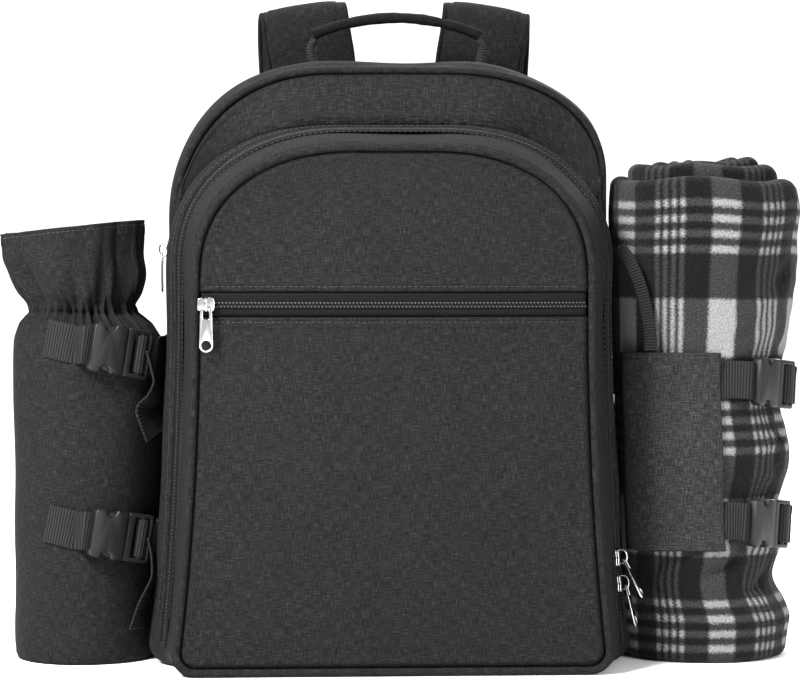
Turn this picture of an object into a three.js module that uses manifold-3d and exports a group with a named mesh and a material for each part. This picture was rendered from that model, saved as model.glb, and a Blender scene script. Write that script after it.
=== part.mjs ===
// A picnic backpack, in millimetres. +Z is up, the front faces -Y, and +X is the right side seen from the
// front. The origin is the middle of the rear compartment's width, on the ground under its front seam.
import * as THREE from "three";
import { mergeVertices } from "three/addons/utils/BufferGeometryUtils.js";
import Module from "manifold-3d";

const wasm = await Module();
wasm.setup();

// Driving dimensions of the bag
const bagWidth = 300;
const bagHeight = 398;
const mainDepth = 105;
const mainFront = -5;
const frontDepth = 73.7;
const cloth = 2;
const gap = 0.3;
const cornerRadius = 14;
const pipingRadius = 2.4;
const zipWidth = 13;
const coilWidth = 5;
const coilHeight = 1.2;
const tapeThickness = 1.4;
const frontZipAt = 0.46;
const rearZipAt = 0.6;
const crown = 8;
const foldReach = 20;
const foldNear = 0.23; // half the fold's full width, as a share of bagWidth
const foldFar = 0.34; // where the fold has died away, as a share of bagWidth
const padThickness = 8;

// Driving dimensions of the pocket zip and of the sliders and pulls
const pocketZipHeight = 237.5;
const pocketZipWidth = 15;
const sliderLength = 11;
const sliderWidth = 9.5;
const sliderThickness = 2.6;
const lugLength = 9;
const lugHeight = 4.8;
const lugBar = 1;
const lugWidth = 2;
const pullLength = 28;
const pullTopWidth = 7.4;
const pullEndWidth = 8.8;
const pullThickness = 1.2;
const pullRail = 1.2;
const pullWindow = 7.2;
const pullHole = 3.1;
const pocketSliderAt = -0.3967; // a share of bagWidth
const frontSliderHeights = [71, 54];
const frontPullTilts = [23, 10];
const rearSliderHeight = 272;

// Driving dimensions of the handle and the shoulder straps
const handleSpan = 115;
const handleCentre = 9;
const handleDepth = 75;
const handleRise = 12;
const handleEndHeight = 22;
const handleEndLean = 2;
const gripRadius = 3.6;
const strapWidth = 62;
const strapEndWidth = 46;
const strapThickness = 9;
const strapLoop = 49;
const strapSpread = 59;
const strapCentre = 10;
const strapDropShare = 0.754; // a share of bagHeight
const strapStandOff = 30;
const strapSeamDepth = 6;
const webbing = 25;
const webbingThickness = 1.6;
const webbingBow = 2;
const tabThickness = 3;
const adjusterThickness = 4;

// Driving dimensions of the bottle pouch
const pouchRadius = 48;
const pouchHeight = 287;
const pouchDepth = 14;
const pouchSquash = 0.5;
const pouchTilt = 0.1;
const pleats = 9;
const patchAngles = [-27, -19, -11, -3]; // degrees from the front, along the patch
const patchLift = 4;
const patchSlope = 1.5;

// Driving dimensions of the rolled blanket, its flap and its straps
const rollRadius = 63;
const rollHeight = 319;
const rollRise = 12;
const rollDepth = 10;
const rollCore = 9;
const blanketPack = 10.4;
const blanketPitch = 11.4;
const flapTop = 205;
const flapBottom = 74;
const flapReach = 70;
const flapThickness = 2.6;
const blanketStrapLift = 3;
const backStrapAngles = [84, 200]; // degrees from the front, where the back straps lie on the roll
const backStrapSteps = 8;
const loopWidth = 9;
const strapHeights = {
  pouchUpper: 206,
  pouchLower: 85,
  blanketUpper: flapTop - 21,
  blanketLower: flapBottom + 17,
};

// Driving dimensions of the side-release buckles
const buckleWidth = 32;
const buckleThickness = 8;
const socketLength = 24;
const latchLength = 18.5;
const buckleWall = 2.2;
const buckleAngles = { pouch: 29, blanket: 47 }; // degrees from the front
const buckleDips = { pouch: 10, blanket: 6 }; // degrees below level
const prongWidth = 5;
const barWidth = 3;

const fabric = { color: 0x3a3a3c, roughness: 0.92, metalness: 0 };
const trim = { color: 0x29292b, roughness: 0.85, metalness: 0 };
const webbingLook = { color: 0x242426, roughness: 0.8, metalness: 0 };
const plastic = { color: 0x303032, roughness: 0.45, metalness: 0 };
const nickel = { color: 0xc4c4c4, roughness: 0.3, metalness: 1 };
const fleece = { color: 0x77777a, roughness: 1, metalness: 0 };

const backpack = new THREE.Group();

// Adds a named closed body to the object, or to another group.
function addPiece(name, geometry, look, parent = backpack) {
  const piece = new THREE.Mesh(geometry, new THREE.MeshStandardMaterial(look));
  piece.name = name;
  parent.add(piece);
  return piece;
}

const degrees = (angle) => THREE.MathUtils.degToRad(angle);
const mix = THREE.MathUtils.lerp;
const blend = (a, b, share) => new THREE.Vector3().lerpVectors(a, b, share);

// Makes a geometry from points and triangles, with its faces turned outwards.
function geometryFrom(points, triangles) {
  let volume = 0;
  for (const [a, b, c] of triangles) {
    volume += points[a].dot(new THREE.Vector3().crossVectors(points[b], points[c]));
  }
  const corners = triangles.flatMap(([a, b, c]) => (volume > 0 ? [a, b, c] : [a, c, b]));
  const geometry = new THREE.BufferGeometry().setFromPoints(points);
  geometry.setIndex(corners);
  return geometry;
}

// Joins loops of points into a closed body. The first and last loops are closed with flat fans, or joined
// to each other when the body is a ring.
function loft(loops, ring = false) {
  const count = loops[0].length;
  const triangles = [];
  const bands = ring ? loops.length : loops.length - 1;
  for (let row = 0; row < bands; row += 1) {
    for (let i = 0; i < count; i += 1) {
      const next = ((row + 1) % loops.length) * count;
      const j = (i + 1) % count;
      triangles.push([row * count + i, row * count + j, next + j]);
      triangles.push([row * count + i, next + j, next + i]);
    }
  }
  if (!ring) {
    const end = (loops.length - 1) * count;
    for (let i = 1; i < count - 1; i += 1) {
      triangles.push([0, i + 1, i]);
      triangles.push([end, end + i, end + i + 1]);
    }
  }
  return geometryFrom(loops.flat(), triangles);
}

// Makes a wall from an outer and an inner grid of points, with side walls wherever a cell has no neighbour.
function wall(outer, inner, wraps = false, present = () => true) {
  const rows = outer.length;
  const count = outer[0].length;
  const columns = wraps ? count : count - 1;
  const points = [];
  const seen = new Map();
  const triangles = [];
  const at = (grid, row, i) => {
    const point = grid[row][i % count];
    if (!seen.has(point)) {
      seen.set(point, points.length);
      points.push(point);
    }
    return seen.get(point);
  };
  const quad = (a, b, c, d) => triangles.push([a, b, c], [a, c, d]);
  const filled = (row, i) => {
    const inside = row >= 0 && row < rows - 1 && (wraps || (i >= 0 && i < columns));
    return inside && present(row, (i + columns) % columns);
  };
  const edge = (row, i, nextRow, j) => {
    quad(at(outer, row, i), at(outer, nextRow, j), at(inner, nextRow, j), at(inner, row, i));
  };
  for (let row = 0; row < rows - 1; row += 1) {
    for (let i = 0; i < columns; i += 1) {
      if (!filled(row, i)) continue;
      const low = row + 1;
      quad(at(outer, row, i), at(outer, low, i), at(outer, low, i + 1), at(outer, row, i + 1));
      quad(at(inner, row, i), at(inner, row, i + 1), at(inner, low, i + 1), at(inner, low, i));
      if (!filled(row - 1, i)) edge(row, i, row, i + 1);
      if (!filled(row + 1, i)) edge(low, i + 1, low, i);
      if (!filled(row, i - 1)) edge(low, i, row, i);
      if (!filled(row, i + 1)) edge(row, i + 1, low, i + 1);
    }
  }
  return geometryFrom(points, triangles);
}

// Carries a section along stations. A section point (a, b) lies a along the station's wide direction and b
// along its thick direction.
function sweep(stations, section, ring = false) {
  const loops = stations.map((station) => section(station).map(([a, b]) => station.at.clone()
    .addScaledVector(station.wide, a)
    .addScaledVector(station.thick, b)));
  return loft(loops, ring);
}

// Gives each point of a path its directions: wide is as stated, thick is square to it and to the path.
function stationsAlong(points, wides, closed = false) {
  const last = points.length - 1;
  return points.map((point, i) => {
    const after = closed ? points[(i + 1) % points.length] : points[Math.min(i + 1, last)];
    const before = closed ? points[(i + last) % points.length] : points[Math.max(i - 1, 0)];
    const along = after.clone().sub(before).normalize();
    const wanted = Array.isArray(wides) ? wides[i] : wides;
    const thick = new THREE.Vector3().crossVectors(wanted, along).normalize();
    const wide = new THREE.Vector3().crossVectors(along, thick).normalize();
    return { at: point, wide, thick, share: i / last };
  });
}

const flatSection = (width, thickness) => () => [
  [-width / 2, -thickness / 2],
  [width / 2, -thickness / 2],
  [width / 2, thickness / 2],
  [-width / 2, thickness / 2],
];

const roundSection = (radius, sides) => () => Array.from({ length: sides }, (_, i) => {
  const angle = (2 * Math.PI * i) / sides;
  return [radius * Math.cos(angle), radius * Math.sin(angle)];
});

function solidFrom(geometry) {
  const bare = geometry.clone();
  bare.deleteAttribute("normal");
  bare.deleteAttribute("uv");
  const merged = mergeVertices(bare, 1e-4);
  const vertProperties = new Float32Array(merged.attributes.position.array);
  const triVerts = new Uint32Array(merged.index.array);
  return new wasm.Manifold(new wasm.Mesh({ numProp: 3, vertProperties, triVerts }));
}

function geometryOf(solid) {
  const mesh = solid.getMesh();
  const geometry = new THREE.BufferGeometry();
  geometry.setAttribute("position", new THREE.BufferAttribute(mesh.vertProperties, 3));
  geometry.setIndex(new THREE.BufferAttribute(mesh.triVerts, 1));
  return geometry;
}

function block(lowX, highX, lowY, highY, lowZ, highZ) {
  const box = new THREE.BoxGeometry(highX - lowX, highY - lowY, highZ - lowZ);
  return box.translate((lowX + highX) / 2, (lowY + highY) / 2, (lowZ + highZ) / 2);
}

// Outlines of the bag's cross rings. Widths are shares of bagWidth and heights are shares of bagHeight.
// left and right are half-widths above the flare, and the spreads are what the flare adds at the ground.
const ringColumns = [
  "at", "left", "right", "spreadLeft", "spreadRight", "top",
  "wideLeft", "tallLeft", "wideRight", "tallRight",
];
const readRings = (rows) => rows.map((row) => Object.fromEntries(row.map((v, i) => [ringColumns[i], v])));

// at is the share of mainDepth behind the front seam
const mainRings = readRings([
  [0.00, 0.483, 0.483, 0.030, 0.033, 0.972, 0.360, 0.285, 0.360, 0.185],
  [0.10, 0.488, 0.486, 0.026, 0.029, 0.990, 0.360, 0.285, 0.365, 0.185],
  [0.22, 0.490, 0.487, 0.020, 0.023, 1.000, 0.360, 0.285, 0.370, 0.185],
  [0.60, 0.489, 0.486, 0.016, 0.018, 1.000, 0.360, 0.285, 0.370, 0.190],
  [0.92, 0.482, 0.480, 0.014, 0.014, 0.995, 0.360, 0.285, 0.370, 0.195],
  [1.00, 0.474, 0.472, 0.012, 0.012, 0.982, 0.355, 0.280, 0.365, 0.195],
]);

// at is the share of frontDepth forward of the rear compartment's front wall
const frontRings = readRings([
  [0.00, 0.475, 0.478, 0.037, 0.040, 0.884, 0.365, 0.250, 0.365, 0.250],
  [0.19, 0.487, 0.490, 0.038, 0.040, 0.892, 0.370, 0.250, 0.370, 0.250],
  [0.46, 0.458, 0.470, 0.036, 0.036, 0.879, 0.365, 0.226, 0.365, 0.226],
  [0.80, 0.438, 0.444, 0.041, 0.039, 0.862, 0.360, 0.218, 0.360, 0.218],
  [1.00, 0.430, 0.430, 0.043, 0.040, 0.847, 0.352, 0.214, 0.352, 0.214],
]);

// The fold of the rear compartment's front wall, over the front compartment's arch
const foldRing = readRings([[0, 0.487, 0.487, 0.030, 0.030, 0.931, 0.313, 0.211, 0.313, 0.211]])[0];

const squareness = 2.25;
const flarePower = 2.2;
const steps = { base: 2, corner: 2, side: 4, shoulder: 7, top: 6 };
const ringCount = 2 * (steps.base + steps.corner + steps.side + steps.shoulder) + steps.top;
const zipFrom = steps.base + 1;
const zipTo = ringCount - zipFrom;

// The ring of an outline table at a share of its depth.
function ringAt(rings, share) {
  const next = Math.max(1, rings.findIndex((ring) => ring.at >= share - 1e-9));
  const [low, high] = [rings[next - 1], rings[next]];
  const t = (share - low.at) / (high.at - low.at);
  return Object.fromEntries(ringColumns.map((column) => [column, mix(low[column], high[column], t)]));
}

// One half of an outline, from the middle of the base out, up the side and over the shoulder.
function halfOutline(half, spread, wide, tall, top, inset) {
  const side = half * bagWidth - inset;
  const foot = side + spread * bagWidth;
  const radius = cornerRadius - inset / 2;
  const shoulderWide = wide * bagWidth - inset;
  const shoulderTall = tall * bagHeight - inset;
  const shoulderZ = top * bagHeight - inset - shoulderTall;
  const points = [];
  for (let i = 0; i < steps.base; i += 1) points.push([((foot - radius) * i) / steps.base, inset]);
  for (let i = 0; i < steps.corner; i += 1) {
    const angle = (Math.PI / 2) * (i / steps.corner);
    points.push([foot - radius + radius * Math.sin(angle), inset + radius * (1 - Math.cos(angle))]);
  }
  for (let i = 0; i < steps.side; i += 1) {
    const t = i / steps.side;
    const x = side + (foot - side) * (1 - t) ** flarePower;
    points.push([x, mix(inset + radius, shoulderZ, t)]);
  }
  for (let i = 0; i <= steps.shoulder; i += 1) {
    const angle = (Math.PI / 2) * (i / steps.shoulder);
    const x = side - shoulderWide + shoulderWide * Math.cos(angle) ** (2 / squareness);
    points.push([x, shoulderZ + shoulderTall * Math.sin(angle) ** (2 / squareness)]);
  }
  return points;
}

// The whole outline of a ring at depth y, as a loop of points that starts at the middle of the base.
function ringLoop(ring, y, inset = 0) {
  const right = halfOutline(ring.right, ring.spreadRight, ring.wideRight, ring.tallRight, ring.top, inset);
  const left = halfOutline(ring.left, ring.spreadLeft, ring.wideLeft, ring.tallLeft, ring.top, inset);
  const [fromX, toX] = [right.at(-1)[0], -left.at(-1)[0]];
  const top = right.at(-1)[1];
  const across = [];
  for (let i = 1; i < steps.top; i += 1) across.push([mix(fromX, toX, i / steps.top), top]);
  const loop = [...right, ...across, ...left.slice(1).reverse().map(([x, z]) => [-x, z])];
  return loop.map(([x, z]) => new THREE.Vector3(x, y, z));
}

const mainY = (share) => mainFront + share * mainDepth;
const wallFront = mainFront - 2 * pipingRadius - gap;
const frontStart = wallFront - gap;
const frontY = (share) => frontStart - share * frontDepth;
const mainLoop = (share, inset = 0) => ringLoop(ringAt(mainRings, share), mainY(share), inset);
const frontLoop = (share, inset = 0) => ringLoop(ringAt(frontRings, share), frontY(share), inset);

// A cloth band round a compartment, with a slot for its zip over the sides and the top.
function gusset(loopAt, shares, slotRow) {
  const outer = shares.map((share) => loopAt(share));
  const inner = shares.map((share) => loopAt(share, cloth));
  const present = (row, i) => row !== slotRow || i < zipFrom || i >= zipTo;
  return wall(outer, inner, true, present);
}

// The zip in that slot: a tape with its coil as a ridge along the middle.
function zipTape(loopAt, from, to, depth) {
  const edge = gap / depth;
  const across = [from + edge, (from + to) / 2, to - edge];
  const strip = (share, inset) => {
    const arch = loopAt(share, inset).slice(zipFrom, zipTo + 1);
    const shorten = (end, next) => blend(end, next, 3 * gap / end.distanceTo(next));
    arch[0] = shorten(arch[0], arch[1]);
    arch[arch.length - 1] = shorten(arch.at(-1), arch.at(-2));
    return arch;
  };
  const outer = across.map((share, i) => strip(share, i === 1 ? cloth / 2 - coilHeight : cloth / 2));
  const inner = across.map((share) => strip(share, cloth / 2 + tapeThickness));
  return wall(outer, inner);
}

// A plate from loops on its front and its back, each listed from the middle out.
const plate = (fronts, backs) => loft([...fronts, ...backs.slice().reverse()]);

const shrink = (loop, share, y) => {
  const centre = new THREE.Vector3(0, y, bagHeight / 2);
  return loop.map((point) => {
    const moved = blend(centre, point, share);
    moved.y = y;
    return moved;
  });
};

// Rear compartment
const rearZipHalf = zipWidth / 2 / mainDepth;
const frontZipHalf = zipWidth / 2 / frontDepth;
const rearZip = [rearZipAt - rearZipHalf, rearZipAt + rearZipHalf];
const frontZip = [frontZipAt - frontZipHalf, frontZipAt + frontZipHalf];

addPiece("main_gusset", gusset(mainLoop, [0, 0.1, 0.22, rearZip[0], rearZip[1], 0.92, 1], 3), fabric);
addPiece("rear_zip_tape", zipTape(mainLoop, rearZip[0], rearZip[1], mainDepth), trim);

function pipingRing(loop, radius) {
  const inward = new THREE.Vector3(0, 1, 0);
  return sweep(stationsAlong(loop, inward, true), roundSection(radius, 5), true);
}

const atDepth = (loop, y) => loop.map((point) => new THREE.Vector3(point.x, y, point.z));
const mainPipingY = mainFront - gap - pipingRadius;
const frontPipingY = frontY(1) - gap - pipingRadius;
const pipingInset = pipingRadius + cloth / 4;
addPiece("main_piping", pipingRing(atDepth(mainLoop(0, pipingRadius), mainPipingY), pipingRadius), trim);
addPiece("front_piping", pipingRing(atDepth(frontLoop(1, pipingInset), frontPipingY), pipingRadius), trim);

// The wall between the compartments. Above the front compartment it bulges forward and folds over the arch.
function mainFrontPanel() {
  const rim = atDepth(mainLoop(0, 2 * pipingRadius + gap), wallFront);
  const fold = ringLoop(foldRing, wallFront, cornerRadius);
  const bulge = (point, index) => {
    const high = index > steps.base + steps.corner + steps.side;
    const aside = THREE.MathUtils.smoothstep(Math.abs(point.x), foldNear * bagWidth, foldFar * bagWidth);
    return high && point.z > bagHeight / 2 ? 1 - aside : 0;
  };
  // share from rim to fold, share of foldReach forward
  const profile = [[0, 0], [0.35, 0.45], [0.8, 1], [0.97, 0.72], [1, 0]];
  const row = ([share, reach], back) => rim.map((point, i) => {
    const moved = blend(point, fold[i], share);
    const forward = foldReach * reach * bulge(moved, i);
    const lift = back && share > 0.9 && share < 1 ? cloth * bulge(moved, i) : 0;
    return new THREE.Vector3(moved.x, wallFront - forward + back, moved.z + lift);
  });
  const middle = (y) => [shrink(fold, 0.3, y), shrink(fold, 0.75, y)];
  const fronts = [...middle(wallFront), ...profile.map((entry) => row(entry, 0)).reverse()];
  const backs = [...middle(wallFront + cloth), ...profile.map((entry) => row(entry, cloth)).reverse()];
  return plate(fronts, backs);
}
addPiece("main_front_panel", mainFrontPanel(), fabric);

// The padded back, thin at its rim and full inside its seam.
const backStart = mainY(1) + gap;
const backFace = backStart + padThickness;
function backPanel() {
  const rim = mainLoop(1);
  const seam = mainLoop(1, padThickness);
  const fronts = [shrink(rim, 0.5, backStart), atDepth(rim, backStart)];
  const backs = [shrink(rim, 0.5, backFace), atDepth(seam, backFace - 0.1 * padThickness),
    atDepth(rim, backStart + 0.35 * padThickness)];
  return plate(fronts, backs);
}
addPiece("back_panel", backPanel(), fabric);

// Front compartment
addPiece("front_gusset", gusset(frontLoop, [0, 0.19, frontZip[0], frontZip[1], 0.8, 1], 2), fabric);
addPiece("front_zip_tape", zipTape(frontLoop, frontZip[0], frontZip[1], frontDepth), trim);

// The crowned front, cut across by its pocket zip.
const panelInset = pipingInset + pipingRadius + gap;
const panelShares = [0.35, 0.7, 0.9, 1];
const panelY = (share) => frontPipingY - crown * (1 - share * share);
function frontPanel() {
  const rim = frontLoop(1, panelInset);
  const side = (back) => panelShares.map((share) => shrink(rim, share, panelY(share) + back));
  return solidFrom(plate(side(0), side(cloth)));
}
const panel = frontPanel();
const [zipLow, zipHigh] = [pocketZipHeight - pocketZipWidth / 2, pocketZipHeight + pocketZipWidth / 2];
function slab(low, high) {
  const cutter = block(-bagWidth, bagWidth, -bagWidth, bagWidth, low, high);
  return panel.intersect(solidFrom(cutter));
}
addPiece("front_panel_lower", geometryOf(slab(-1, zipLow)), fabric);
addPiece("front_panel_upper", geometryOf(slab(zipHigh, bagHeight)), fabric);

// The pocket zip: the strip of the crowned front between the two panels, with its coil as a ridge.
function pocketZip() {
  const band = slab(pocketZipHeight - coilWidth / 2, pocketZipHeight + coilWidth / 2);
  return geometryOf(slab(zipLow + gap, zipHigh - gap).add(band.translate([0, -coilHeight, 0])));
}
addPiece("pocket_zip_tape", pocketZip(), trim);

// Sliders and pulls. In their own frame the pull hangs along -Z, the fabric lies behind, towards +Y, and the
// pull swings about X at the rail that passes through the lug.
const railDepth = -(sliderThickness + 0.55 * lugHeight);
const railHeight = -0.24 * lugLength;

function sliderBody(turned) {
  const [wide, long] = turned ? [sliderLength, sliderWidth] : [sliderWidth, sliderLength];
  const base = block(-wide / 2, wide / 2, -sliderThickness, 0, -long / 2, long / 2);
  const arch = new THREE.Shape();
  const rounding = 0.3 * lugHeight;
  const halfLug = lugLength / 2;
  arch.moveTo(-halfLug, -0.5);
  arch.lineTo(-halfLug, lugHeight - rounding);
  arch.quadraticCurveTo(-halfLug, lugHeight, -halfLug + rounding, lugHeight);
  arch.lineTo(halfLug - rounding, lugHeight);
  arch.quadraticCurveTo(halfLug, lugHeight, halfLug, lugHeight - rounding);
  arch.lineTo(halfLug, -0.5);
  arch.lineTo(halfLug - lugBar, -0.5);
  arch.lineTo(halfLug - lugBar, lugHeight - lugBar);
  arch.lineTo(-halfLug + lugBar, lugHeight - lugBar);
  arch.lineTo(-halfLug + lugBar, -0.5);
  arch.closePath();
  const lug = new THREE.ExtrudeGeometry(arch, { depth: lugWidth, bevelEnabled: false, curveSegments: 2 });
  lug.translate(0, 0, -lugWidth / 2);
  // the arch is drawn in a plane of length and height, and stands on the slider's face
  const stand = new THREE.Matrix4().makeBasis(
    new THREE.Vector3(0, 0, 1),
    new THREE.Vector3(0, -1, 0),
    new THREE.Vector3(1, 0, 0),
  );
  lug.applyMatrix4(stand);
  lug.translate(0, -sliderThickness, 0);
  return geometryOf(solidFrom(base).add(solidFrom(lug)));
}

function pullTab() {
  const tab = new THREE.Shape();
  const [topHalf, endHalf] = [pullTopWidth / 2, pullEndWidth / 2];
  const endZ = -pullLength + endHalf;
  tab.moveTo(-topHalf, pullRail / 2);
  tab.lineTo(-endHalf, endZ);
  tab.absarc(0, endZ, endHalf, Math.PI, 2 * Math.PI, false);
  tab.lineTo(topHalf, pullRail / 2);
  tab.closePath();
  const frame = new THREE.Path();
  const windowHalf = lugWidth / 2 + 0.3 * lugWidth + gap;
  frame.moveTo(-windowHalf, -pullRail / 2);
  frame.lineTo(windowHalf, -pullRail / 2);
  frame.lineTo(windowHalf, -pullWindow);
  frame.lineTo(-windowHalf, -pullWindow);
  frame.closePath();
  const hole = new THREE.Path();
  hole.absarc(0, endZ, pullHole, 0, 2 * Math.PI, true);
  tab.holes.push(frame, hole);
  const plateTab = new THREE.ExtrudeGeometry(tab, {
    depth: pullThickness,
    bevelEnabled: false,
    curveSegments: 8,
  });
  plateTab.translate(0, 0, -pullThickness / 2);
  return plateTab.rotateX(Math.PI / 2);
}

// A slider with its pull: the group stands on the coil, with outwards and up as its directions.
function addSlider(name, { at, out, up }, turned, tilt) {
  const group = new THREE.Group();
  const across = new THREE.Vector3().crossVectors(up, out);
  group.position.copy(at);
  group.quaternion.setFromRotationMatrix(new THREE.Matrix4().makeBasis(across, out.clone().negate(), up));
  addPiece(`${name}_slider`, sliderBody(turned), nickel, group);
  const pull = addPiece(`${name}_pull`, pullTab(), nickel, group);
  pull.position.set(0, railDepth, railHeight);
  pull.rotation.x = -tilt;
  backpack.add(group);
}

// The place of a zip's coil at a height, on the right (side 1) or the left (side -1) of a compartment.
function coilAt(loopAt, share, height, side) {
  const along = (place) => {
    const inset = cloth / 2 - coilHeight - gap;
    const points = loopAt(place, inset).filter((point) => point.x * side > 0 && point.z > cornerRadius - 1);
    const sorted = points.sort((p, q) => p.z - q.z);
    const above = Math.max(1, sorted.findIndex((point) => point.z > height));
    const [low, high] = [sorted[above - 1], sorted[above]];
    const at = blend(low, high, (height - low.z) / (high.z - low.z));
    return { at, up: high.clone().sub(low).normalize() };
  };
  const { at, up } = along(share);
  const across = along(share + 0.05).at.sub(along(share - 0.05).at);
  const out = new THREE.Vector3().crossVectors(across, up).normalize();
  if (out.x * side < 0) out.negate();
  return { at, up, out };
}

// The face of the crowned front at the pocket zip, by the distance from the middle.
const pocketZipHalf = frontLoop(1, panelInset).reduce((most, point) => (
  Math.abs(point.z - pocketZipHeight) < 0.1 * bagHeight ? Math.max(most, point.x) : most), 0);
function pocketFace(x) {
  const share = Math.abs(x) / pocketZipHalf;
  const next = Math.max(1, panelShares.findIndex((entry) => entry >= share));
  const [low, high] = [panelShares[next - 1], panelShares[next]];
  return mix(panelY(low), panelY(high), (share - low) / (high - low));
}
const pocketSliderX = pocketSliderAt * bagWidth;
const pocketAt = new THREE.Vector3(pocketSliderX,
  pocketFace(pocketSliderX + sliderLength / 2) - coilHeight - gap, pocketZipHeight);
const facing = { out: new THREE.Vector3(0, -1, 0), up: new THREE.Vector3(0, 0, 1) };

addSlider("pocket", { at: pocketAt, ...facing }, true, 0);
["front_a", "front_b"].forEach((name, i) => {
  const place = coilAt(frontLoop, frontZipAt, frontSliderHeights[i], 1);
  addSlider(name, place, false, degrees(frontPullTilts[i]));
});
addSlider("rear", coilAt(mainLoop, rearZipAt, rearSliderHeight, -1), false, 0);

// Handle: an arched grip between two bunched webbing ends
const handleEnds = [handleCentre - handleSpan / 2, handleCentre + handleSpan / 2];
const gripBase = bagHeight + handleEndHeight;
function handleGrip() {
  const count = 15;
  const points = Array.from({ length: count }, (_, i) => {
    const t = i / (count - 1);
    const z = gripBase + handleRise * Math.sin(Math.PI * t) ** 0.8;
    return new THREE.Vector3(mix(handleEnds[0], handleEnds[1], t), handleDepth, z);
  });
  return sweep(stationsAlong(points, new THREE.Vector3(0, 1, 0)), roundSection(gripRadius, 8));
}
addPiece("handle_grip", handleGrip(), trim);
["left", "right"].forEach((name, i) => {
  const out = i === 0 ? -1 : 1;
  const foot = new THREE.Vector3(handleEnds[i] - out * handleEndLean, handleDepth, bagHeight + gap);
  const bend = new THREE.Vector3(handleEnds[i] + out * 1.5 * handleEndLean, handleDepth,
    bagHeight + 0.5 * handleEndHeight);
  const top = new THREE.Vector3(handleEnds[i] - out * 0.5 * handleEndLean, handleDepth,
    gripBase - gripRadius - gap);
  const stations = stationsAlong([foot, bend, top], new THREE.Vector3(0, 1, 0));
  addPiece(`handle_end_${name}`, sweep(stations, flatSection(0.5 * webbing, 0.26 * webbing)), webbingLook);
});

// Shoulder straps: padded, sewn to the top of the back, looped above it and hanging down behind it.
// along is a share of strapLoop above the back's top or of strapDrop below it, out a share of strapStandOff,
// and aside the share of the way from strapCentre's line to the lower corner.
const strapTop = bagHeight - strapSeamDepth;
const strapDrop = strapDropShare * bagHeight;
const strapFace = backFace + gap + strapThickness / 2;
const strapRoute = [
  { above: -0.55, out: 0.00, aside: 0.00 },
  { above: 0.16, out: 0.00, aside: 0.00 },
  { above: 0.62, out: -0.02, aside: 0.07 },
  { above: 0.90, out: 0.10, aside: 0.11 },
  { above: 1.00, out: 0.36, aside: 0.13 },
  { above: 0.90, out: 0.62, aside: 0.15 },
  { above: 0.60, out: 0.76, aside: 0.17 },
  { below: 0.06, out: 0.82, aside: 0.22 },
  { below: 0.33, out: 1.00, aside: 0.38 },
  { below: 0.66, out: 0.96, aside: 0.60 },
  { below: 0.90, out: 0.66, aside: 0.80 },
  { below: 1.00, out: 0.45, aside: 0.88 },
];
const cornerReach = 0.36 * bagWidth;
const strapX = (side, aside) => strapCentre + side * mix(strapSpread, cornerReach, aside);

function strapPath(side) {
  const points = strapRoute.map(({ above, below, out, aside }) => {
    const z = above === undefined ? strapTop - below * strapDrop : strapTop + above * strapLoop;
    return new THREE.Vector3(strapX(side, aside), strapFace + out * strapStandOff, z);
  });
  return new THREE.CatmullRomCurve3(points, false, "centripetal").getSpacedPoints(23);
}

function paddedSection({ share }) {
  const half = mix(strapWidth, strapEndWidth, THREE.MathUtils.smoothstep(share, 0.45, 1)) / 2;
  const thick = strapThickness / 2;
  const edge = 0.45 * thick;
  return [[-half, -edge], [-half + thick, -thick], [half - thick, -thick], [half, -edge],
    [half, edge], [half - thick, thick], [-half + thick, thick], [-half, edge]];
}

function tabShape(width, height) {
  const shape = new THREE.Shape();
  shape.moveTo(-width / 2, 0);
  shape.lineTo(width / 2, 0);
  shape.lineTo(0.3 * width, height);
  shape.lineTo(-0.3 * width, height);
  shape.closePath();
  return shape;
}

// A flat frame with slots across it for webbing, standing on the XZ plane.
function ladder(width, length, thickness, slots) {
  const frame = new THREE.Shape();
  frame.moveTo(-width / 2, 0);
  frame.lineTo(width / 2, 0);
  frame.lineTo(width / 2, length);
  frame.lineTo(-width / 2, length);
  frame.closePath();
  const rail = (width - webbing) / 2 - gap;
  for (const [low, high] of slots) {
    const slot = new THREE.Path();
    slot.moveTo(-width / 2 + rail, low);
    slot.lineTo(-width / 2 + rail, high);
    slot.lineTo(width / 2 - rail, high);
    slot.lineTo(width / 2 - rail, low);
    slot.closePath();
    frame.holes.push(slot);
  }
  return new THREE.ExtrudeGeometry(frame, { depth: thickness, bevelEnabled: false })
    .rotateX(Math.PI / 2).translate(0, thickness / 2, 0);
}

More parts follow.
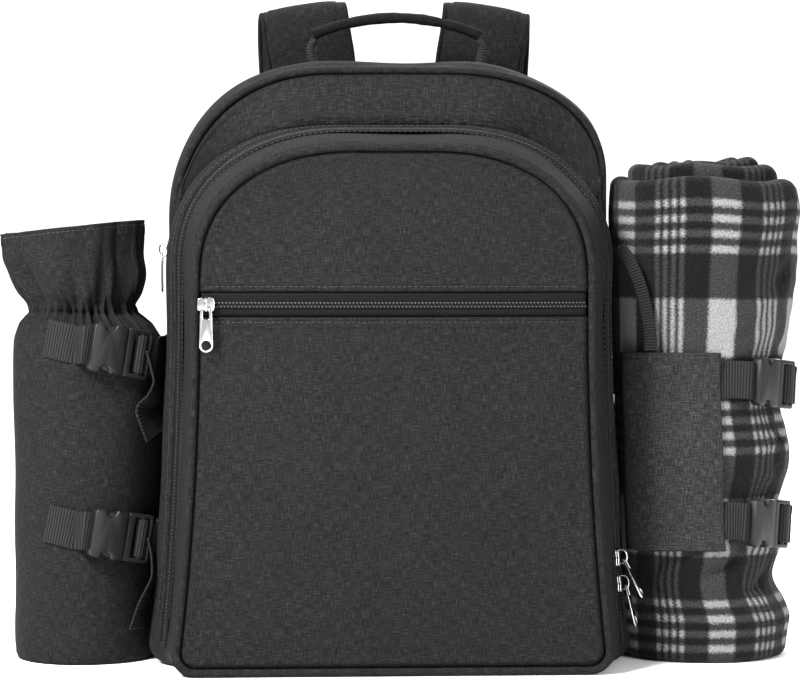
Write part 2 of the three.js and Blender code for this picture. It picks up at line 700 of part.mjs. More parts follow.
const sides = [["left", -1], ["right", 1]];
for (const [name, side] of sides) {
  const path = strapPath(side);
  const stations = stationsAlong(path, new THREE.Vector3(1, 0, 0));
  addPiece(`shoulder_strap_${name}`, sweep(stations, paddedSection), fabric);

  const end = path.at(-1);
  const run = end.clone().sub(path.at(-2)).normalize();
  const adjusterLength = 0.8 * webbing;
  const adjusterWidth = webbing + 2 * barWidth;
  const adjuster = addPiece(`strap_adjuster_${name}`,
    ladder(adjusterWidth, adjusterLength, adjusterThickness, [[barWidth, 0.45 * adjusterLength],
      [0.62 * adjusterLength, adjusterLength - barWidth]]), plastic);
  const flat = new THREE.Vector3().crossVectors(run, new THREE.Vector3(1, 0, 0)).normalize();
  const level = new THREE.Vector3().crossVectors(flat, run);
  adjuster.position.copy(end).addScaledVector(run, 2 * gap);
  adjuster.quaternion.setFromRotationMatrix(new THREE.Matrix4().makeBasis(level, flat, run));

  const tabHeight = 1.2 * webbing;
  const tab = new THREE.ExtrudeGeometry(tabShape(1.4 * webbing, tabHeight),
    { depth: tabThickness, bevelEnabled: false }).rotateX(Math.PI / 2);
  const tabX = strapX(side, 1);
  const tabY = backFace + gap + tabThickness;
  const tabZ = 2 * cornerRadius;
  addPiece(`strap_tab_${name}`, tab.translate(tabX, tabY, tabZ), fabric);

  const low = new THREE.Vector3(tabX, tabY + gap + webbingThickness / 2, tabZ + 0.35 * tabHeight);
  const high = end.clone().addScaledVector(run, adjusterLength + 6 * gap);
  const middle = blend(low, high, 0.5).add(new THREE.Vector3(0, webbingBow, 0));
  const strapEnds = stationsAlong([low, middle, high], new THREE.Vector3(1, 0, 0));
  addPiece(`strap_webbing_${name}`, sweep(strapEnds, flatSection(webbing, webbingThickness)), webbingLook);
}

// How far the rear compartment's side reaches at a height, for what leans on it.
function sideAt(height, side) {
  const reaches = [0, 0.1, 0.22, 0.4].map((share) => {
    const points = mainLoop(share).filter((point) => point.x * side > 0 && point.z >= cornerRadius - 1);
    const sorted = points.sort((p, q) => p.z - q.z);
    const above = Math.max(1, sorted.findIndex((point) => point.z > Math.max(height, sorted[0].z)));
    const [low, high] = [sorted[above - 1], sorted[above]];
    return Math.abs(mix(low.x, high.x, Math.max(0, (height - low.z) / (high.z - low.z))));
  });
  return side * Math.max(...reaches);
}

// Bottle pouch: a cloth sleeve, closed below, drawn in at its neck and flared above it. The heights are
// shares of pouchHeight, the radii of pouchRadius; fold is the depth of the pleats, shift moves the ring
// away from the bag, and flat narrows it from front to back.
const pouchColumns = ["at", "radius", "fold", "shift", "flat"];
const pouchRows = [
  [0.000, 0.960, 0.000, 0.00, 1.00],
  [0.020, 1.000, 0.000, 0.00, 1.00],
  [0.220, 0.985, 0.004, 0.00, 1.00],
  [0.480, 0.990, 0.004, 0.00, 1.00],
  [0.690, 1.000, 0.008, 0.00, 1.00],
  [0.760, 0.930, 0.020, 0.00, 1.00],
  [0.800, 0.720, 0.060, 0.02, 1.00],
  [0.830, 0.640, 0.080, 0.03, 1.00],
  [0.870, 0.780, 0.080, 0.07, 0.92],
  [0.930, 0.960, 0.070, 0.13, 0.82],
  [1.000, 0.990, 0.060, 0.19, 0.74],
].map((row) => Object.fromEntries(row.map((value, i) => [pouchColumns[i], value])));
const pouchX = sideAt(0, -1) - gap - pouchRadius + pouchSquash;
const aroundPouch = 27;

function pouchLoop({ at, radius, fold, shift, flat }, inset) {
  return Array.from({ length: aroundPouch }, (_, i) => {
    const angle = (2 * Math.PI * i) / aroundPouch;
    const pleat = 1 + fold * Math.cos(pleats * angle);
    const r = radius * pouchRadius * pleat - inset;
    const x = pouchX - shift * pouchRadius + r * Math.cos(angle);
    const tilt = at > 0.9 ? pouchTilt * pouchRadius * (at - 0.9) * 10 * Math.cos(angle) : 0;
    const z = Math.max(at * pouchHeight + tilt, inset);
    const limit = sideAt(Math.min(z, 0.66 * bagHeight), -1) - gap - inset;
    return new THREE.Vector3(Math.min(x, limit), pouchDepth + flat * r * Math.sin(angle), z);
  });
}

function bottlePouch() {
  const outer = pouchRows.map((row) => pouchLoop(row, 0));
  const inner = pouchRows.map((row) => pouchLoop(row, cloth));
  const centre = (y) => new THREE.Vector3(pouchX, pouchDepth, y);
  const small = (loop, z) => loop.map((point) => blend(centre(z), point, 0.3)).map((point) => {
    point.z = z;
    return point;
  });
  return loft([small(outer[0], 0), ...outer, ...inner.slice().reverse(), small(inner[0], cloth)]);
}
addPiece("bottle_pouch", bottlePouch(), fabric);

// Rolled blanket: a folded fleece wound into a spiral, drawn in where its straps hold it. The heights are
// shares of rollHeight; the girths, and how far each ring leans away from the bag, are shares of rollRadius.
const rollRows = [
  [0.000, 0.920, 0.020],
  [0.060, 0.940, 0.030],
  [0.205, 0.830, -0.085],
  [0.290, 0.870, -0.060],
  [0.440, 0.920, -0.010],
  [0.540, 0.895, -0.030],
  [0.675, 0.950, 0.000],
  [0.840, 0.995, 0.020],
  [1.000, 1.005, 0.030],
].map(([at, girth, lean]) => ({ at, girth, lean }));
const rollTurns = (rollRadius - blanketPack - rollCore) / blanketPitch;
const freeEdge = degrees(8);
const rollEase = blanketPitch / 4;
const rollSteps = 44;
const rollFoot = sideAt(0, 1) - 3 * gap + rollRadius * (rollRows[0].girth - rollRows[0].lean);

function rollAt(height) {
  const next = Math.max(1, rollRows.findIndex((row) => row.at * rollHeight >= height));
  const [low, high] = [rollRows[next - 1], rollRows[next]];
  const share = (height / rollHeight - low.at) / (high.at - low.at);
  return {
    girth: rollRadius * mix(low.girth, high.girth, share),
    x: rollFoot + rollRadius * mix(low.lean, high.lean, share),
  };
}

// The share of the whole winding at a share of its length: the outer turns take most of it.
const windingLoss = (rollTurns * blanketPitch) / rollRadius;
const woundAt = (length) => (1 - Math.sqrt(1 - windingLoss * (2 - windingLoss) * length)) / windingLoss;

function blanketRoll() {
  const grid = (outside) => rollRows.map(({ at }) => Array.from({ length: rollSteps + 1 }, (_, i) => {
    const share = woundAt(i / rollSteps);
    const angle = freeEdge - share * rollTurns * 2 * Math.PI;
    const height = at * rollHeight;
    const ring = rollAt(height);
    const outerRadius = rollRadius - share * rollTurns * blanketPitch;
    const r = (outside ? outerRadius : outerRadius - blanketPack) * ring.girth / rollRadius;
    const rise = at === 1 ? rollRise * THREE.MathUtils.smoothstep(share, 0.1, 0.5) : 0;
    const x = ring.x - rollEase + (1 + rollEase / rollRadius) * r * Math.cos(angle);
    return new THREE.Vector3(x, rollDepth + r * Math.sin(angle), height + rise);
  }));
  return wall(grid(true), grid(false));
}
addPiece("blanket_roll", blanketRoll(), fleece);

// The point round a roll at an angle from the front, positive towards +X, and its outward direction.
const outward = (angle) => new THREE.Vector3(Math.sin(angle), -Math.cos(angle), 0);
const onRoll = (centre, radius, angle) => centre.clone().addScaledVector(outward(angle), radius);

// Flap: a cloth panel sewn to the bag's side that lies over the front of the roll.
const flapStart = (height) => sideAt(height, 1) + 2.5 * cloth;

// The flap's face at a distance from its seam: taut from the seam, then lying on the roll.
function flapFace(reached, height, offset) {
  const ring = rollAt(height);
  const radius = ring.girth * (1 - rollEase / rollRadius) + 2 * gap + offset;
  const x = flapStart(height) + reached;
  const aside = Math.min(1, Math.abs(x - ring.x) / radius);
  const onRoll = rollDepth - radius * Math.sqrt(1 - aside * aside);
  const share = Math.min(1, (2.2 * reached) / flapReach) ** 0.6;
  const taut = mix(frontStart - 0.2 * frontDepth - offset, rollDepth - radius, share);
  return new THREE.Vector3(x, reached < 0.45 * flapReach ? Math.min(onRoll, taut) : onRoll, height);
}

function blanketFlap() {
  const heights = [flapBottom, (flapBottom + flapTop) / 2, flapTop];
  const across = 9;
  const face = (offset) => heights.map((height) => Array.from({ length: across }, (_, i) => (
    flapFace((i / (across - 1)) * flapReach, height, offset))));
  return wall(face(flapThickness), face(0));
}
addPiece("blanket_flap", blanketFlap(), fabric);

// Side-release buckle in its own frame: length along X from the socket's end, width along Z, thickness along
// Y with the outer face at -Y. The latch's prongs lie in the socket's side windows.
const innerHalf = buckleThickness / 2 - buckleWall;
const prongReach = 0.62 * socketLength;

function buckleSocket() {
  const half = buckleWidth / 2;
  const body = new THREE.Shape();
  body.moveTo(0, -0.82 * half);
  body.quadraticCurveTo(0, -half, 0.16 * socketLength, -half);
  body.lineTo(socketLength, -half);
  body.lineTo(socketLength, half);
  body.lineTo(0.16 * socketLength, half);
  body.quadraticCurveTo(0, half, 0, 0.82 * half);
  body.closePath();
  const solid = solidFrom(new THREE.ExtrudeGeometry(body,
    { depth: buckleThickness, bevelEnabled: false, curveSegments: 2 })
    .translate(0, 0, -buckleThickness / 2).rotateX(Math.PI / 2));
  const pocketStart = socketLength - prongReach - 1;
  const pocketHalf = half - buckleWall;
  const pocket = block(pocketStart, socketLength + 1, -innerHalf, innerHalf, -pocketHalf, pocketHalf);
  const bar = block(barWidth, barWidth + 2.5 * webbingThickness, -buckleThickness, buckleThickness,
    -webbing / 2 - gap, webbing / 2 + gap);
  const windowEnd = socketLength - 0.3 * prongReach;
  const openings = [-1, 1].map((side) => {
    const depth = 0.6 * prongWidth;
    const [low, high] = side < 0 ? [-half - 1, -half + depth] : [half - depth, half + 1];
    return block(pocketStart, windowEnd, -buckleThickness, buckleThickness, low, high);
  });
  return [pocket, bar, ...openings].reduce((left, part) => left.subtract(solidFrom(part)), solid);
}

function buckleLatch() {
  const half = buckleWidth / 2;
  const thin = innerHalf - gap;
  const baseStart = socketLength + gap;
  const frame = block(baseStart, baseStart + latchLength, -buckleThickness / 2 + 1, buckleThickness / 2 - 1,
    -half, half);
  const slot = (from, to) => block(baseStart + from * latchLength, baseStart + to * latchLength,
    -buckleThickness, buckleThickness, -webbing / 2 - gap, webbing / 2 + gap);
  const prongs = [-1, 1].map((side) => {
    const outer = half - buckleWall - gap;
    const [low, high] = side < 0 ? [-outer, -outer + prongWidth] : [outer - prongWidth, outer];
    return block(socketLength - prongReach, baseStart + 1, -thin, thin, low, high);
  });
  const guideHalf = 0.16 * half;
  const guide = block(socketLength - 0.8 * prongReach, baseStart + 1, -thin, thin, -guideHalf, guideHalf);
  const whole = [...prongs, guide].reduce((left, part) => left.add(solidFrom(part)), solidFrom(frame));
  return [slot(0.3, 0.52), slot(0.68, 0.86)].reduce((left, part) => left.subtract(solidFrom(part)), whole);
}
const socketShape = geometryOf(buckleSocket());
const latchShape = geometryOf(buckleLatch());
const buckleLength = socketLength + gap + latchLength;

// Lays a buckle on a roll: tangent to it at an angle from the front, and dipping by a slope.
function buckleFrame(centre, radius, angle, dip) {
  const out = outward(angle);
  const level = new THREE.Vector3(Math.cos(angle), Math.sin(angle), 0);
  const along = level.multiplyScalar(Math.cos(dip)).setZ(-Math.sin(dip));
  const up = new THREE.Vector3().crossVectors(along, out.clone().negate()).normalize();
  const at = centre.clone().addScaledVector(out, radius + gap + buckleThickness / 2);
  at.addScaledVector(along, -buckleLength / 2);
  const matrix = new THREE.Matrix4().makeBasis(along, out.clone().negate(), up).setPosition(at);
  const end = at.clone().addScaledVector(along, buckleLength);
  return { matrix, at, end, along, up, out };
}

function addBuckle(name, frame) {
  addPiece(`${name}_socket`, socketShape.clone().applyMatrix4(frame.matrix), plastic);
  addPiece(`${name}_latch`, latchShape.clone().applyMatrix4(frame.matrix), plastic);
}

const upright = new THREE.Vector3(0, 0, 1);
const buckleGap = 1;
const lead = 4;

// A strip of webbing on edge along a route. At a buckle it runs straight into the frame's end.
function webbingStrip(route, intoSocket, outOfLatch) {
  const points = [...route];
  const wides = route.map(() => upright);
  if (intoSocket) {
    for (const back of [lead + buckleGap, buckleGap]) {
      points.push(intoSocket.at.clone().addScaledVector(intoSocket.along, -back));
      wides.push(intoSocket.up);
    }
  }
  if (outOfLatch) {
    for (const ahead of [lead + buckleGap, buckleGap]) {
      points.unshift(outOfLatch.end.clone().addScaledVector(outOfLatch.along, ahead));
      wides.unshift(outOfLatch.up);
    }
  }
  return sweep(stationsAlong(points, wides), flatSection(webbing, webbingThickness));
}
const seat = gap + webbingThickness / 2;

// Bends of the pouch straps' free ends, as shares of webbing: aside from the bag, forward and down.
const tailBends = {
  upper: [
    [0, 0, 0], [0.16, 0.12, 0.2], [0.1, 0.14, 0.45], [-0.1, 0.16, 0.8], [0, 0.16, 1.1], [0.16, 0.12, 1.5],
  ],
  lower: [
    [0, 0, 0], [-0.04, 0.14, 0.3], [-0.12, 0.18, 0.7], [-0.22, 0.2, 1], [-0.32, 0.2, 1.3], [-0.4, 0.2, 1.6],
  ],
};
const tailDrops = { upper: 3 * gap, lower: 8 * gap };

// Pouch fastenings: a patch of webbing on the pouch, a buckle, and the strap from the bag with its tail.
const tailWide = new THREE.Vector3(-0.5, -0.87, 0);
for (const [name, height] of [["upper", strapHeights.pouchUpper], ["lower", strapHeights.pouchLower]]) {
  const centre = new THREE.Vector3(pouchX, pouchDepth, height);
  const frame = buckleFrame(centre, pouchRadius, degrees(buckleAngles.pouch), degrees(buckleDips.pouch));
  addBuckle(`pouch_buckle_${name}`, frame);

  const radius = pouchRadius + seat;
  const route = patchAngles.map((angle) => onRoll(centre, radius, degrees(angle)));
  route.forEach((point, i) => {
    point.z = height + patchLift + patchSlope * (route.length - 1 - i);
  });
  addPiece(`pouch_patch_${name}`, webbingStrip(route, frame), webbingLook);

  const start = frame.end;
  const wallX = sideAt(height - webbing / 2, -1) - seat;
  const held = [
    new THREE.Vector3(mix(wallX, start.x, 0.3), mix(mainFront, start.y, 0.15), start.z),
    new THREE.Vector3(wallX, mainFront + 0.5 * webbing, start.z),
    new THREE.Vector3(wallX, mainFront + 1.4 * webbing, start.z),
  ];
  addPiece(`pouch_strap_${name}`, webbingStrip(held, null, frame), webbingLook);

  // the strap's free end, hanging in soft bends below the buckle
  const top = start.z - buckleWidth / 2 - tailDrops[name];
  const tail = tailBends[name].map(([aside, forward, down]) => new THREE.Vector3(start.x + aside * webbing,
    start.y - forward * webbing, top - down * webbing));
  const hanging = sweep(stationsAlong(tail, tailWide), flatSection(webbing, webbingThickness));
  addPiece(`pouch_tail_${name}`, hanging, webbingLook);
}

// Blanket fastenings: a strap from the flap, a buckle, and the strap round the back of the roll.
for (const [name, height] of [["upper", strapHeights.blanketUpper], ["lower", strapHeights.blanketLower]]) {
  const ring = rollAt(height);
  const centre = new THREE.Vector3(ring.x, rollDepth, height);
  const frame = buckleFrame(centre, ring.girth, degrees(buckleAngles.blanket), degrees(buckleDips.blanket));
  addBuckle(`blanket_buckle_${name}`, frame);

  const from = new THREE.Vector3(0, 0, height + blanketStrapLift);
  from.x = flapStart(height) + flapReach - 0.5 * webbing;
  from.y = rollDepth - ring.girth - flapThickness - seat;
  const across = from.clone().add(new THREE.Vector3(0.5 * webbing, 0, 0));
  addPiece(`blanket_strap_${name}`, webbingStrip([from, across], frame), webbingLook);

  const behind = Array.from({ length: backStrapSteps + 1 }, (_, i) => (
    onRoll(centre, ring.girth + 2 * seat, degrees(mix(...backStrapAngles, i / backStrapSteps)))));
  const anchorX = sideAt(height - webbing / 2, 1) + seat;
  const anchor = new THREE.Vector3(anchorX, rollDepth + ring.girth, height);
  const sewn = anchor.clone().add(new THREE.Vector3(0, 0.6 * webbing, 0));
  addPiece(`blanket_back_strap_${name}`, webbingStrip([...behind, anchor, sewn], null, frame), webbingLook);
}

// Side loop: a narrow strap that curves from the bag's right side down to the flap's top edge.
const loopRise = 2.7 * webbing;
function sideLoop() {
  const route = [[0, 1], [0.32, 0.86], [0.62, 0.66], [0.86, 0.4], [1, 0.14], [1, 0.006]];
  const points = route.map(([across, up]) => {
    const point = flapFace(0.7 * webbing * across, flapTop, flapThickness / 2);
    return point.add(new THREE.Vector3(0, 0, loopRise * up));
  });
  const level = new THREE.Vector3(1, 0, 0);
  const sloping = new THREE.Vector3(0.4, 0, 1);
  const wides = points.map((_, i) => blend(sloping, level, i / (points.length - 1)));
  return sweep(stationsAlong(points, wides), flatSection(loopWidth, tabThickness));
}
addPiece("side_loop", sideLoop(), webbingLook);

export default backpack;
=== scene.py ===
import math
import bmesh
import bpy
import numpy as np
from mathutils import Matrix, Vector


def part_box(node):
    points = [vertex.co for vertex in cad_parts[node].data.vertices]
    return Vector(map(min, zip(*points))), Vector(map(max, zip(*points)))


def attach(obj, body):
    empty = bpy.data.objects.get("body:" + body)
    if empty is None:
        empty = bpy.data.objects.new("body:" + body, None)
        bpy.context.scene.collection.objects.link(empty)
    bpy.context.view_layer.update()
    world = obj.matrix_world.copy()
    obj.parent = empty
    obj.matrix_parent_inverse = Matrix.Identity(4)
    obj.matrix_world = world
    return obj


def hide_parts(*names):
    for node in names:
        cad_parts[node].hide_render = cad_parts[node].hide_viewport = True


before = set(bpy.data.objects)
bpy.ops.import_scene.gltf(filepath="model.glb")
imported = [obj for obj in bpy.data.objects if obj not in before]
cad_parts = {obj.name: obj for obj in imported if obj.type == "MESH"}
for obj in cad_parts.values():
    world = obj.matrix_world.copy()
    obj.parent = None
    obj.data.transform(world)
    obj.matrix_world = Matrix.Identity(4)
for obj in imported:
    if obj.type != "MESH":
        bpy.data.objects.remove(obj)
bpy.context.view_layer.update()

scene = bpy.context.scene
print("frame loaded")

# The camera, in metres, at the photograph's place
view = {"place": (-0.0785, -1.7983, 0.275), "aim": (0.0078, 0.0, 0.208), "lens": 121.5}


def addCamera():
    camera = bpy.data.objects.new("camera", bpy.data.cameras.new("camera"))
    scene.collection.objects.link(camera)
    camera.data.lens = view["lens"]
    camera.data.sensor_width = 36
    camera.data.clip_end = 30
    camera.location = view["place"]
    camera.rotation_euler = (Vector(view["aim"]) - camera.location).to_track_quat("-Z", "Y").to_euler()
    scene.camera = camera


addCamera()
print("camera placed")

# Light and floor: strengths in watts, places and sizes in metres
studio = {
    "air": 0.72,
    "lamps": [
        # name, place, width, watts
        ("keyLamp", (-1.2, -1.3, 1.70), 0.7, 190),
        ("fillLamp", (1.5, -1.9, 0.8), 1.4, 40),
        ("topLamp", (0.0, 0.9, 2.2), 1.6, 60),
        ("backLamp", (1.3, 2.0, 1.2), 1.2, 40),
    ],
    "floor": (0.93, 0.93, 0.93),
}


def addStudio():
    world = bpy.data.worlds.new("air")
    scene.world = world
    world.use_nodes = True
    world.node_tree.nodes["Background"].inputs["Color"].default_value = (1, 1, 1, 1)
    world.node_tree.nodes["Background"].inputs["Strength"].default_value = studio["air"]
    for name, place, width, watts in studio["lamps"]:
        lamp = bpy.data.lights.new(name, "AREA")
        lamp.shape = "DISK"
        lamp.size = width
        lamp.energy = watts
        holder = bpy.data.objects.new(name, lamp)
        scene.collection.objects.link(holder)
        holder.location = place
        holder.rotation_euler = (Vector((0, 0, 0.2)) - Vector(place)).to_track_quat("-Z", "Y").to_euler()
    scene.view_settings.view_transform = "Standard"


addStudio()


def unit(v):
    return v / np.maximum(np.linalg.norm(v, axis=-1, keepdims=True), 1e-9)


def ease(x, low, high):
    t = np.clip((x - low) / (high - low), 0, 1)
    return t * t * (3 - 2 * t)


# a cubic curve through points: between two points it starts and ends with their slopes.
# level keeps it from swinging past a point, by taking the smaller way of two slopes
def curveThrough(x, y, at, level=True):
    x, y, at = np.asarray(x, float), np.asarray(y, float), np.asarray(at, float)
    step = np.diff(x)[:, None]
    slope = np.diff(y, axis=0) / step
    low, high = slope[:-1], slope[1:]
    bend = np.zeros_like(y)
    same = low * high > 0
    bend[1:-1] = np.where(same, 2 * low * high / np.where(same, low + high, 1), 0) if level else (low + high) / 2
    bend[0], bend[-1] = slope[0], slope[-1]
    i = np.clip(np.searchsorted(x, at, side="right") - 1, 0, len(step) - 1)
    t, h = ((at - x[i]) / step[i, 0])[..., None], step[i]
    return ((1 + 2 * t) * (1 - t) ** 2 * y[i] + t * (1 - t) ** 2 * h * bend[i]
            + t * t * (3 - 2 * t) * y[i + 1] - t * t * (1 - t) * h * bend[i + 1])


# a smooth path through points, as count points an even way apart
def smoothPath(points, count):
    points = np.asarray(points, float)
    way = np.r_[0, np.cumsum(np.linalg.norm(np.diff(points, axis=0), axis=1) ** 0.5)]
    fine = curveThrough(way, points, np.linspace(0, way[-1], 40 * len(points)), level=False)
    run = np.r_[0, np.cumsum(np.linalg.norm(np.diff(fine, axis=0), axis=1))]
    even = np.linspace(0, run[-1], count)
    return np.stack([np.interp(even, run, fine[:, k]) for k in range(3)], -1)


# a profile carried along a path: each profile point (a, b) lies a along wide and b along thick
def carried(path, wide, profile, closed=False):
    along = np.roll(path, -1, 0) - np.roll(path, 1, 0) if closed else np.gradient(path, axis=0)
    along = unit(along)
    thick = unit(np.cross(np.broadcast_to(np.asarray(wide, float), path.shape), along))
    wide = np.cross(along, thick)
    a, b = profile[..., 0], profile[..., 1]
    if profile.ndim == 2:
        a, b = a[None], b[None]
    return path[:, None] + a[..., None] * wide[:, None] + b[..., None] * thick[:, None]


def roundProfile(radius, count, flat=1.0):
    angle = np.linspace(0, 2 * np.pi, count, endpoint=False)
    return np.stack([radius * np.cos(angle), flat * radius * np.sin(angle)], -1)


# the outline of a strap: two flat faces, and edges that are half an ellipse
def strapProfile(width, thickness, flat=8, edge=6, crown=0.0):
    bow = np.linspace(-np.pi / 2, np.pi / 2, edge)
    half = thickness / 2
    across = np.linspace(-1, 1, flat)[1:-1]
    reach = width / 2 - half
    top = np.stack([across * reach, half + crown * (1 - across ** 2)], -1)
    right = np.stack([reach + half * np.cos(bow), half * np.sin(bow)], -1)
    return np.concatenate([right, top[::-1], -right, top * [1, -1]])


# a sum of sine waves in many directions, about 1 high, whose lengths lie round the stated size
def ripple(points, size, seed, stretch=(1, 1, 1)):
    draw = np.random.default_rng(seed)
    ways = unit(draw.normal(size=(14, 3))) * np.asarray(stretch, float)
    turns = ways * (2 * np.pi / (size * draw.uniform(0.7, 1.7, 14)))[:, None]
    return np.sin(points @ turns.T + draw.uniform(0, 2 * np.pi, 14)).sum(-1) / 14 ** 0.5


# the direction square to a grid's two directions
def gridNormals(grid, around=False, along=False):
    across = np.roll(grid, -1, 1) - np.roll(grid, 1, 1) if around else np.gradient(grid, axis=1)
    down = np.roll(grid, -1, 0) - np.roll(grid, 1, 0) if along else np.gradient(grid, axis=0)
    return unit(np.cross(across, down))


# where each grid point lies on the flat cloth, in metres: the way along its row, and the mean way down
def flatPlaces(grid, around, along):
    g = np.concatenate([grid, grid[:, :1]], 1) if around else grid
    g = np.concatenate([g, g[:1]], 0) if along else g
    across = np.zeros(g.shape[:2])
    across[:, 1:] = np.cumsum(np.linalg.norm(np.diff(g, axis=1), axis=-1), axis=1)
    across -= across[:, across.shape[1] // 2][:, None]
    down = np.zeros(g.shape[:2])
    down[1:] = np.cumsum(np.linalg.norm(np.diff(g, axis=0), axis=-1).mean(1))[:, None]
    return np.stack([across, down], -1) * 0.001


def putMesh(name, points, loops, sizes, places=None):
    mesh = bpy.data.meshes.new(name)
    mesh.vertices.add(len(points))
    mesh.vertices.foreach_set("co", (points * 0.001).astype(np.float32).ravel())
    mesh.loops.add(len(loops))
    mesh.loops.foreach_set("vertex_index", loops.astype(np.int32))
    mesh.polygons.add(len(sizes))
    mesh.polygons.foreach_set("loop_start", np.r_[0, np.cumsum(sizes)[:-1]].astype(np.int32))
    mesh.polygons.foreach_set("use_smooth", np.ones(len(sizes), bool))
    mesh.update(calc_edges=True)
    if places is not None:
        mesh.uv_layers.new(name="cloth").data.foreach_set("uv", places.astype(np.float32).ravel())
    piece = bpy.data.objects.new(name, mesh)
    scene.collection.objects.link(piece)
    return piece


def finishPiece(piece, look, replaced=(), body="pack"):
    piece.data.materials.append(look)
    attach(piece, body)
    if replaced:
        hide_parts(*([replaced] if isinstance(replaced, str) else replaced))
    return piece


# A surface from a grid of points. around and along join its last column and row to the first; caps close the
# first and last row with fans. An open grid gets its thickness from Solidify, inwards from what faces away
# from the point inside.
def addSurface(name, grid, look, around=False, along=False, caps=(False, False), places=None,
               thickness=0.0, inside=None, replaced=(), body="pack"):
    rows, cols = grid.shape[:2]
    i = np.arange(rows if along else rows - 1)[:, None]
    j = np.arange(cols if around else cols - 1)[None]
    i2, j2 = (i + 1) % rows, (j + 1) % cols
    quads = np.stack(np.broadcast_arrays(i * cols + j, i * cols + j2, i2 * cols + j2, i2 * cols + j), -1)
    quads = quads.reshape(-1, 4)
    spread = flatPlaces(grid, around, along) if places is None else places
    quadPlaces = np.stack([spread[i, j], spread[i, j + 1], spread[i + 1, j + 1], spread[i + 1, j]], -2)
    quadPlaces = quadPlaces.reshape(-1, 4, 2)
    points = grid.reshape(-1, 3)
    fans, fanPlaces = [], []
    ring = np.arange(cols)
    for end, wanted in enumerate(caps):
        if not wanted:
            continue
        row = 0 if end == 0 else rows - 1
        hub = points[row * cols:(row + 1) * cols].mean(0)
        points = np.concatenate([points, hub[None]])
        here, after = row * cols + ring, row * cols + (ring + 1) % cols
        first, second = (after, here) if end == 0 else (here, after)
        fans.append(np.stack([first, second, np.full(cols, len(points) - 1)], -1))
        fanPlaces.append((points[fans[-1]][..., [0, 2]] + points[fans[-1]][..., [1, 1]] * [0.7, 0.7]) * 0.001)
    tris = np.concatenate(fans) if fans else np.zeros((0, 3), int)
    triPlaces = np.concatenate(fanPlaces) if fans else np.zeros((0, 3, 2))
    a, b, c, d = (points[quads[:, k]] for k in range(4))
    square = np.cross(c - a, d - b) / 2
    centre = (a + b + c + d) / 4 - (np.asarray(inside, float) if inside is not None else 0)
    facing = (centre * square).sum()
    if len(tris):
        p, q, r = (points[tris[:, k]] for k in range(3))
        middle = (p + q + r) / 3 - (np.asarray(inside, float) if inside is not None else 0)
        facing += (middle * np.cross(q - p, r - p) / 2).sum()
    if facing < 0:
        quads, quadPlaces, tris, triPlaces = quads[:, ::-1], quadPlaces[:, ::-1], tris[:, ::-1], triPlaces[:, ::-1]
    loops = np.concatenate([quads.ravel(), tris.ravel()])
    sizes = np.r_[np.full(len(quads), 4), np.full(len(tris), 3)]
    allPlaces = np.concatenate([quadPlaces.reshape(-1, 2), triPlaces.reshape(-1, 2)])
    piece = putMesh(name, points, loops, sizes, allPlaces)
    if thickness:
        wall = piece.modifiers.new("wall", "SOLIDIFY")
        wall.thickness = thickness * 0.001
        wall.offset = -1
    return finishPiece(piece, look, replaced, body)


# works out a sheet's flat size as the mean way along the grid's two directions, and gives back the piece unchanged
def declareSheet(piece, grid, around=False):
    flat = flatPlaces(grid, around, False)
    width = float(np.ptp(flat[..., 0], axis=1).mean())
    length = float(flat[-1, 0, 1])
    area = float((np.ptp(flat[..., 0], axis=1)[1:] * np.diff(flat[:, 0, 1])).sum())
    width = max(width, area / length)
    return piece


# adds a shader node; sockets are given by name or number as values or as other nodes' outputs
def node(tree, kind, sockets=None, **settings):
    new = tree.nodes.new(kind)
    for key, value in settings.items():
        setattr(new, key, value)
    for key, value in (sockets or {}).items():
        if isinstance(value, bpy.types.NodeSocket):
            tree.links.new(value, new.inputs[key])
        else:
            new.inputs[key].default_value = value
    return new


def maths(tree, operation, first, second=0.0, third=0.0):
    return node(tree, "ShaderNodeMath", {0: first, 1: second, 2: third}, operation=operation).outputs[0]


def newLook(name, roughness, **sockets):
    look = bpy.data.materials.new(name)
    look.use_nodes = True
    tree = look.node_tree
    shader = tree.nodes["Principled BSDF"]
    shader.inputs["Roughness"].default_value = roughness
    for key, value in sockets.items():
        shader.inputs[key.replace("_", " ")].default_value = value
    return look, tree, shader


# the piece's own flat places in millimetres, stretched along one of its two directions
def clothPlaces(tree, across=1000.0, down=1000.0):
    source = node(tree, "ShaderNodeTexCoord").outputs["UV"]
    return node(tree, "ShaderNodeMapping", {"Vector": source, "Scale": (across, down, 1000.0)}).outputs[0]


def noise(tree, vector, scale, detail=2.0, rough=0.5):
    return node(tree, "ShaderNodeTexNoise",
                {"Vector": vector, "Scale": scale, "Detail": detail, "Roughness": rough}).outputs["Fac"]


def ramp(tree, fac, stops):
    new = node(tree, "ShaderNodeValToRGB", {"Fac": fac})
    elements = new.color_ramp.elements
    while len(elements) < len(stops):
        elements.new(0.5)
    for element, (place, tone) in zip(elements, stops):
        element.position = place
        element.color = (*tone, 1)
    return new.outputs["Color"]


canvas = {
    "dark": (0.0008, 0.0008, 0.0009),
    "middle": (0.0060, 0.0060, 0.0062),
    "light": (0.0225, 0.0225, 0.0229),
    "yarn": 1.9,  # yarns to the millimetre
    "slub": 0.16,  # slubs to the millimetre along a yarn
    "roughness": 0.88,
    "relief": 0.14,
}


